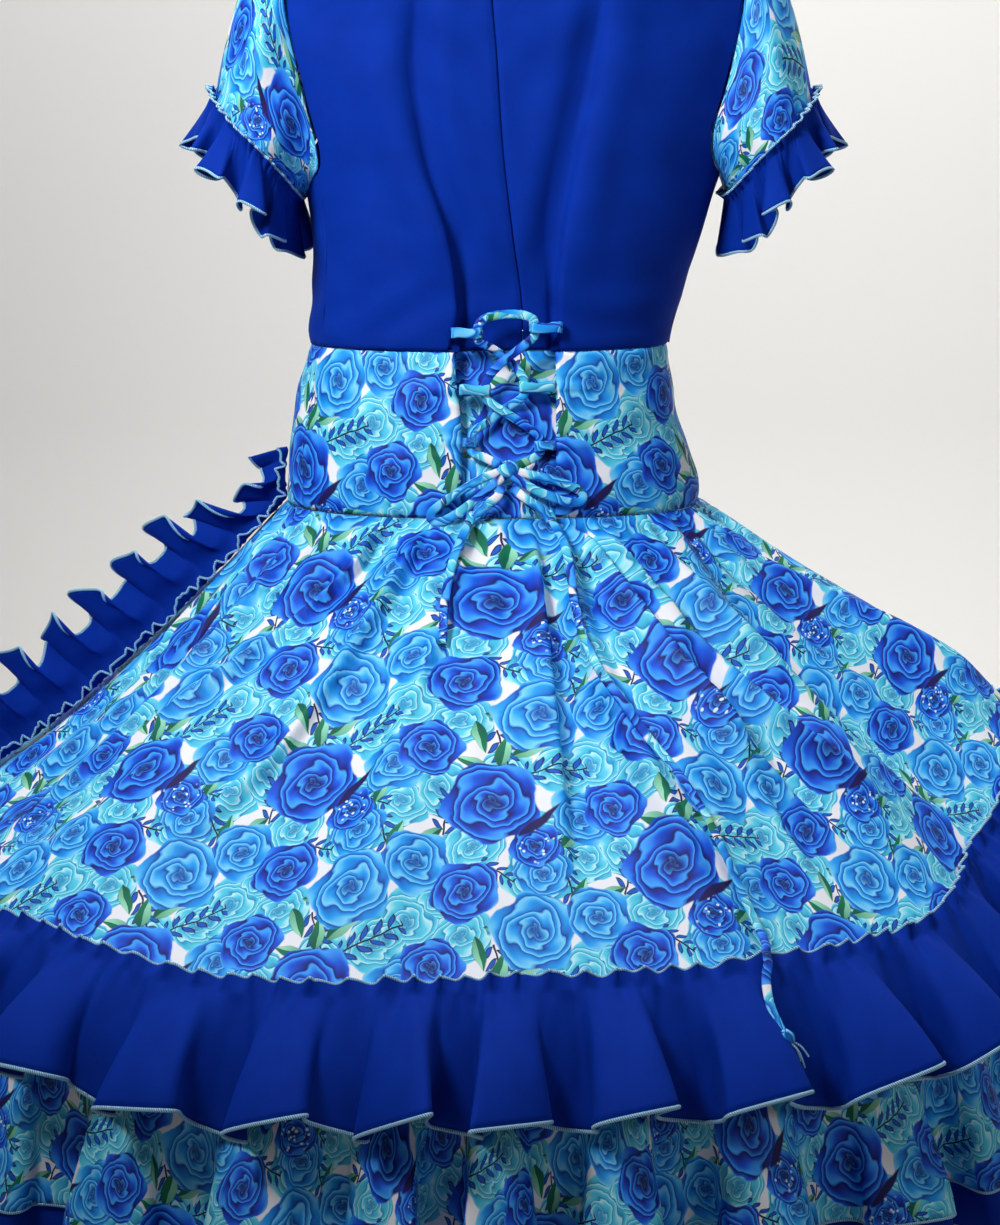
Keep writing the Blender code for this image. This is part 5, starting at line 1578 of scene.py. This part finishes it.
class Dress:
    """Builds every piece of the dress on the frame."""

    def __init__(self, tailor: Tailor) -> None:
        """Takes the tailor that makes the pieces."""
        self.tailor = tailor

    def build(self) -> None:
        """Builds the dress from the shoulders down."""
        self._bodice()
        self._yoke()
        self._skirt()
        self._sleeves()
        self._lacing()

    def _bodice(self) -> None:
        """The two back halves and the front."""
        panels = (
            ("back", "_left", Bodice.back(-1.0), 0.205),
            ("back", "_right", Bodice.back(1.0), 0.245),
            ("front", "", Bodice.front(), 0.5),
        )
        for part, side, mesh, width in panels:
            cut, nodes = Cut(width, BODICE_LENGTH, Held.STRETCHED), [f"{part}_bodice{side}"]
            self.tailor.cloth(f"bodice_{part}{side}", mesh, Finish.CREPE, cut, nodes)

    def _yoke(self) -> None:
        """The three panels round the hips and the sunk strip."""
        front = (RIGHT_SEAM + SIDE_GAP, LEFT_SEAM + 360.0 - SIDE_GAP)
        panels = (
            ("back_left", Yoke.panel(LEFT_SEAM, "left_x", 46), 0.14),
            ("back_right", Yoke.panel("right_x", RIGHT_SEAM, 46), 0.18),
            ("front", Yoke.panel(*front, 100), 0.48),
            ("centre", Yoke.centre(), 0.088),
        )
        for name, mesh, width in panels:
            cut = Cut(width, YOKE_LENGTH, Held.STRETCHED)
            self.tailor.cloth(f"hip_yoke_{name}", mesh, Finish.PRINT, cut, [f"yoke_{name}"])

    def _skirt(self) -> None:
        """The skirt, its ruffles and flounces, and their edge threads."""
        tailor = self.tailor
        held, heading = Held.GATHERED, RUFFLE_HEADING + RUFFLE_DEPTH
        hem, side_length = FLOUNCE_DEPTH / 3.0 + HEM_SHOWS, SIDE_HEADING + SIDE_CUT
        ruffle, flounce, under = Ruffles.ring(), Ruffles.flounce(), Ruffles.under_flounce()
        pieces = (
            ("full_skirt", Skirt.mesh(), Finish.PRINT, Skirt.cut(), "skirt"),
            ("ring_ruffle", ruffle, Finish.CREPE, Cut(4.6, heading, held), "ruffle"),
            ("print_flounce", flounce, Finish.PRINT, Cut(4.4, FLOUNCE_DEPTH, held), "flounce"),
            ("plain_under_flounce", under, Finish.CREPE, Cut(5.4, hem, held), "hem_flounce"),
        )
        for name, mesh, finish, cut, kind in pieces:
            tailor.cloth(name, mesh, finish, cut, [f"{kind}_{q}" for q in QUARTERS], welded=True)
        tailor.edging("ring_ruffle_heading_thread", ruffle, 0)
        tailor.edging("ring_ruffle_hem_thread", ruffle, -1, 0.0016)
        tailor.edging("print_flounce_hem_thread", flounce, -1, 0.0012)
        tailor.edging("under_flounce_hem_thread", under, -1, 0.0016)
        side = Ruffles.side()
        cut = Cut(0.86, side_length, held)
        tailor.cloth("left_side_ruffle", side, Finish.CREPE, cut, ["side_ruffle"])
        tailor.edging("side_ruffle_heading_thread", side, 0)
        tailor.edging("side_ruffle_hem_thread", side, -1, 0.0014)

    def _sleeves(self) -> None:
        """Each sleeve, its ruffle and the ruffle's edge threads."""
        tailor = self.tailor
        for sign, side in ((-1.0, "left"), (1.0, "right")):
            sleeve, name = Sleeve(sign), f"short_sleeve_{side}"
            mesh, ruffle = sleeve.mesh(), sleeve.ruffle()
            cut = Cut(0.4, 0.15, Held.HUNG, 0.042)
            tailor.cloth(name, mesh, Finish.PRINT, cut, [f"sleeve_{side}"], welded=True)
            name, cut = f"{name}_ruffle", Cut(0.74, SLEEVE_HEADING + SLEEVE_DEPTH, Held.GATHERED)
            tailor.cloth(name, ruffle, Finish.CREPE, cut, [f"sleeve_ruffle_{side}"], welded=True)
            tailor.edging(f"{name}_heading_thread", ruffle, 0, 0.0011)
            tailor.edging(f"{name}_hem_thread", ruffle, -1, 0.0013)

    def _band(self, name: str, stops: Sequence, node: str) -> None:
        """A stretch of the flat print lace."""
        line = Lacing.smoothed(stops)
        facing = np.broadcast_to(BACKWARDS, line.shape)
        piece = self.tailor.tube(name, line, facing, Finish.PRINT, Lacing.LACE_HALF, 12)
        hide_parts(node)

    def _knot(
        self, name: str, size: Sequence[float], place: Sequence[float], node: str
    ) -> bpy.types.Object:
        """A knot of the lace at a place."""
        mesh = Lacing.knot(size)
        moved = Mesh(mesh.points + np.array(place), mesh.flat)
        piece = self.tailor.surface(name, moved, Finish.PRINT, welded=True)
        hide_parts(node)
        return piece

    def _lacing(self) -> None:
        """The tabs, the lace with its bow, and the tails."""
        for tab in Lacing.TABS:
            name = f"lace_tab_{tab.side}_{tab.number}"
            piece = self.tailor.surface(name, Lacing.tab(tab), Finish.PRINT, welded=True)
            self.tailor.thicken(piece, TAB_CLOTH)
            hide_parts(f"tab_{tab.side}_{tab.number}")
        self._band("lacing", Lacing.LACE, "lace")
        self._band("bow_left", Lacing.LOOP_LEFT, "bow_loop_left")
        self._band("bow_right", Lacing.LOOP_RIGHT, "bow_loop_right")
        self._knot("bow_centre", (0.008, 0.006, 0.0072), Lacing.KNOT, "bow_knot")
        end, _ = Lacing.on_cloth(Lacing.END_KNOT)
        knot = self._knot("tail_end", (0.0058, 0.0052, 0.007), end[0], "tail_knot")
        self._tail("short_tail", Lacing.SHORT_TAIL, "tail_short")
        frays = self._frays(end[0])
        self._tail("long_tail", Lacing.LONG_TAIL, "tail_long")

    def _tail(self, name: str, stops: Sequence, node: str) -> None:
        """A tail of the lace that hangs over the cloth."""
        dense = Lacing.smoothed(stops, 0.02)
        share = np.linspace(0.0, 1.0, len(dense))
        dense[:, 2] += Lacing.TAIL_LIFT * ease(share / 0.12) * ease((1.0 - share) / 0.12)
        point, normal = Lacing.on_cloth(dense)
        both = Lacing.smoothed(np.concatenate([point, normal], axis=1))
        line, facing = both[:, :3], unit(both[:, 3:])
        piece = self.tailor.tube(name, line, facing, Finish.PRINT, Lacing.LACE_HALF, 12)
        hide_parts(node)

    def _frays(self, place: Grid) -> list[bpy.types.Object]:
        """The loose threads below the end knot."""
        made = []
        for index, (x, y, z) in enumerate(Lacing.FRAYS):
            middle = place + np.array((x * 0.5 + 0.002, y, z * 0.4))
            line = Lacing.smoothed([place, middle, place + np.array((x, y, z))])
            facing, name = np.broadcast_to(BACKWARDS, line.shape), f"tail_fray_{index + 1}"
            made.append(self.tailor.tube(name, line, facing, Finish.THREAD, Lacing.FRAY_HALF))
        return made


class Studio:
    """A pale seamless backdrop, soft lights and the camera."""

    @staticmethod
    def _backdrop() -> None:
        """A sweep of pale paper under and behind the dress."""
        material = bpy.data.materials.new("backdrop paper")
        material.use_nodes = True
        shader = material.node_tree.nodes["Principled BSDF"]
        shader.inputs["Base Color"].default_value = srgb(246, 244, 240)
        shader.inputs["Roughness"].default_value = 0.95
        shader.inputs["Specular IOR Level"].default_value = 0.1
        sweep = bmesh.new()
        steps = [(-5.0, -1.8), (0.8, -1.8)]
        steps += [(0.8 + 1.2 * math.sin(t), -0.6 - 1.2 * math.cos(t)) for t in np.linspace(0.1, 1.5, 15)]
        steps += [(2.0, 5.0)]
        line = [sweep.verts.new((-7.0, y, z)) for y, z in steps]
        edges = [sweep.edges.new(pair) for pair in zip(line, line[1:])]
        made = bmesh.ops.extrude_edge_only(sweep, edges=edges)["geom"]
        across = [item for item in made if isinstance(item, bmesh.types.BMVert)]
        bmesh.ops.translate(sweep, verts=across, vec=(14.0, 0.0, 0.0))
        data = bpy.data.meshes.new("backdrop")
        sweep.to_mesh(data)
        sweep.free()
        data.shade_smooth()
        data.materials.append(material)
        backdrop = bpy.data.objects.new("backdrop", data)
        bpy.context.scene.collection.objects.link(backdrop)

    @staticmethod
    def _light(
        name: str, place: Sequence[float], aim: Sequence[float], size: float, watts: float, spread: float
    ) -> None:
        """A round soft light that points at a place; its spread is in degrees."""
        data = bpy.data.lights.new(name, "AREA")
        data.shape = "DISK"
        data.size = size
        data.energy = watts
        data.spread = math.radians(spread)
        light = bpy.data.objects.new(name, data)
        light.location = place
        light.rotation_euler = (Vector(aim) - Vector(place)).to_track_quat("-Z", "Y").to_euler()
        bpy.context.scene.collection.objects.link(light)

    @classmethod
    def build(cls) -> None:
        """Sets up the studio and makes its camera the scene's."""
        cls._backdrop()
        cls._light("key", (-1.0, -1.32, 0.82), (-0.02, 0.0, -0.28), 0.55, 6.2, 62.0)
        cls._light("fill", (1.7, -1.6, 0.5), (0.05, 0.0, -0.2), 1.2, 2.2, 80.0)
        cls._light("top", (-0.5, 0.2, 1.6), (0.1, -0.2, -0.5), 0.8, 2.6, 90.0)
        cls._light("backdrop", (0.3, 0.7, 1.9), (0.2, 2.0, -0.2), 1.6, 66.0, 170.0)
        world = bpy.data.worlds.new("studio air")
        world.use_nodes = True
        world.node_tree.nodes["Background"].inputs["Color"].default_value = srgb(226, 226, 226)
        world.node_tree.nodes["Background"].inputs["Strength"].default_value = 0.11
        bpy.context.scene.world = world
        data = bpy.data.cameras.new("camera")
        data.lens = 88.0
        camera = bpy.data.objects.new("camera", data)
        camera.location = (-0.0113, -2.5, -0.18)
        camera.rotation_euler = (math.radians(79.8), 0.0, 0.0)
        bpy.context.scene.collection.objects.link(camera)
        scene = bpy.context.scene
        scene.camera = camera
        scene.view_settings.view_transform = "Standard"


def main() -> None:
    """Builds the scene: the dress on the imported solids, and the studio."""
    logging.basicConfig(level=logging.INFO, format="%(name)s: %(message)s")
    for item in list(bpy.data.objects):
        bpy.data.objects.remove(item, do_unlink=True)
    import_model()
    Dress(Tailor(Materials())).build()
    Studio.build()
    bpy.context.view_layer.update()


if __name__ == "__main__":
    main()
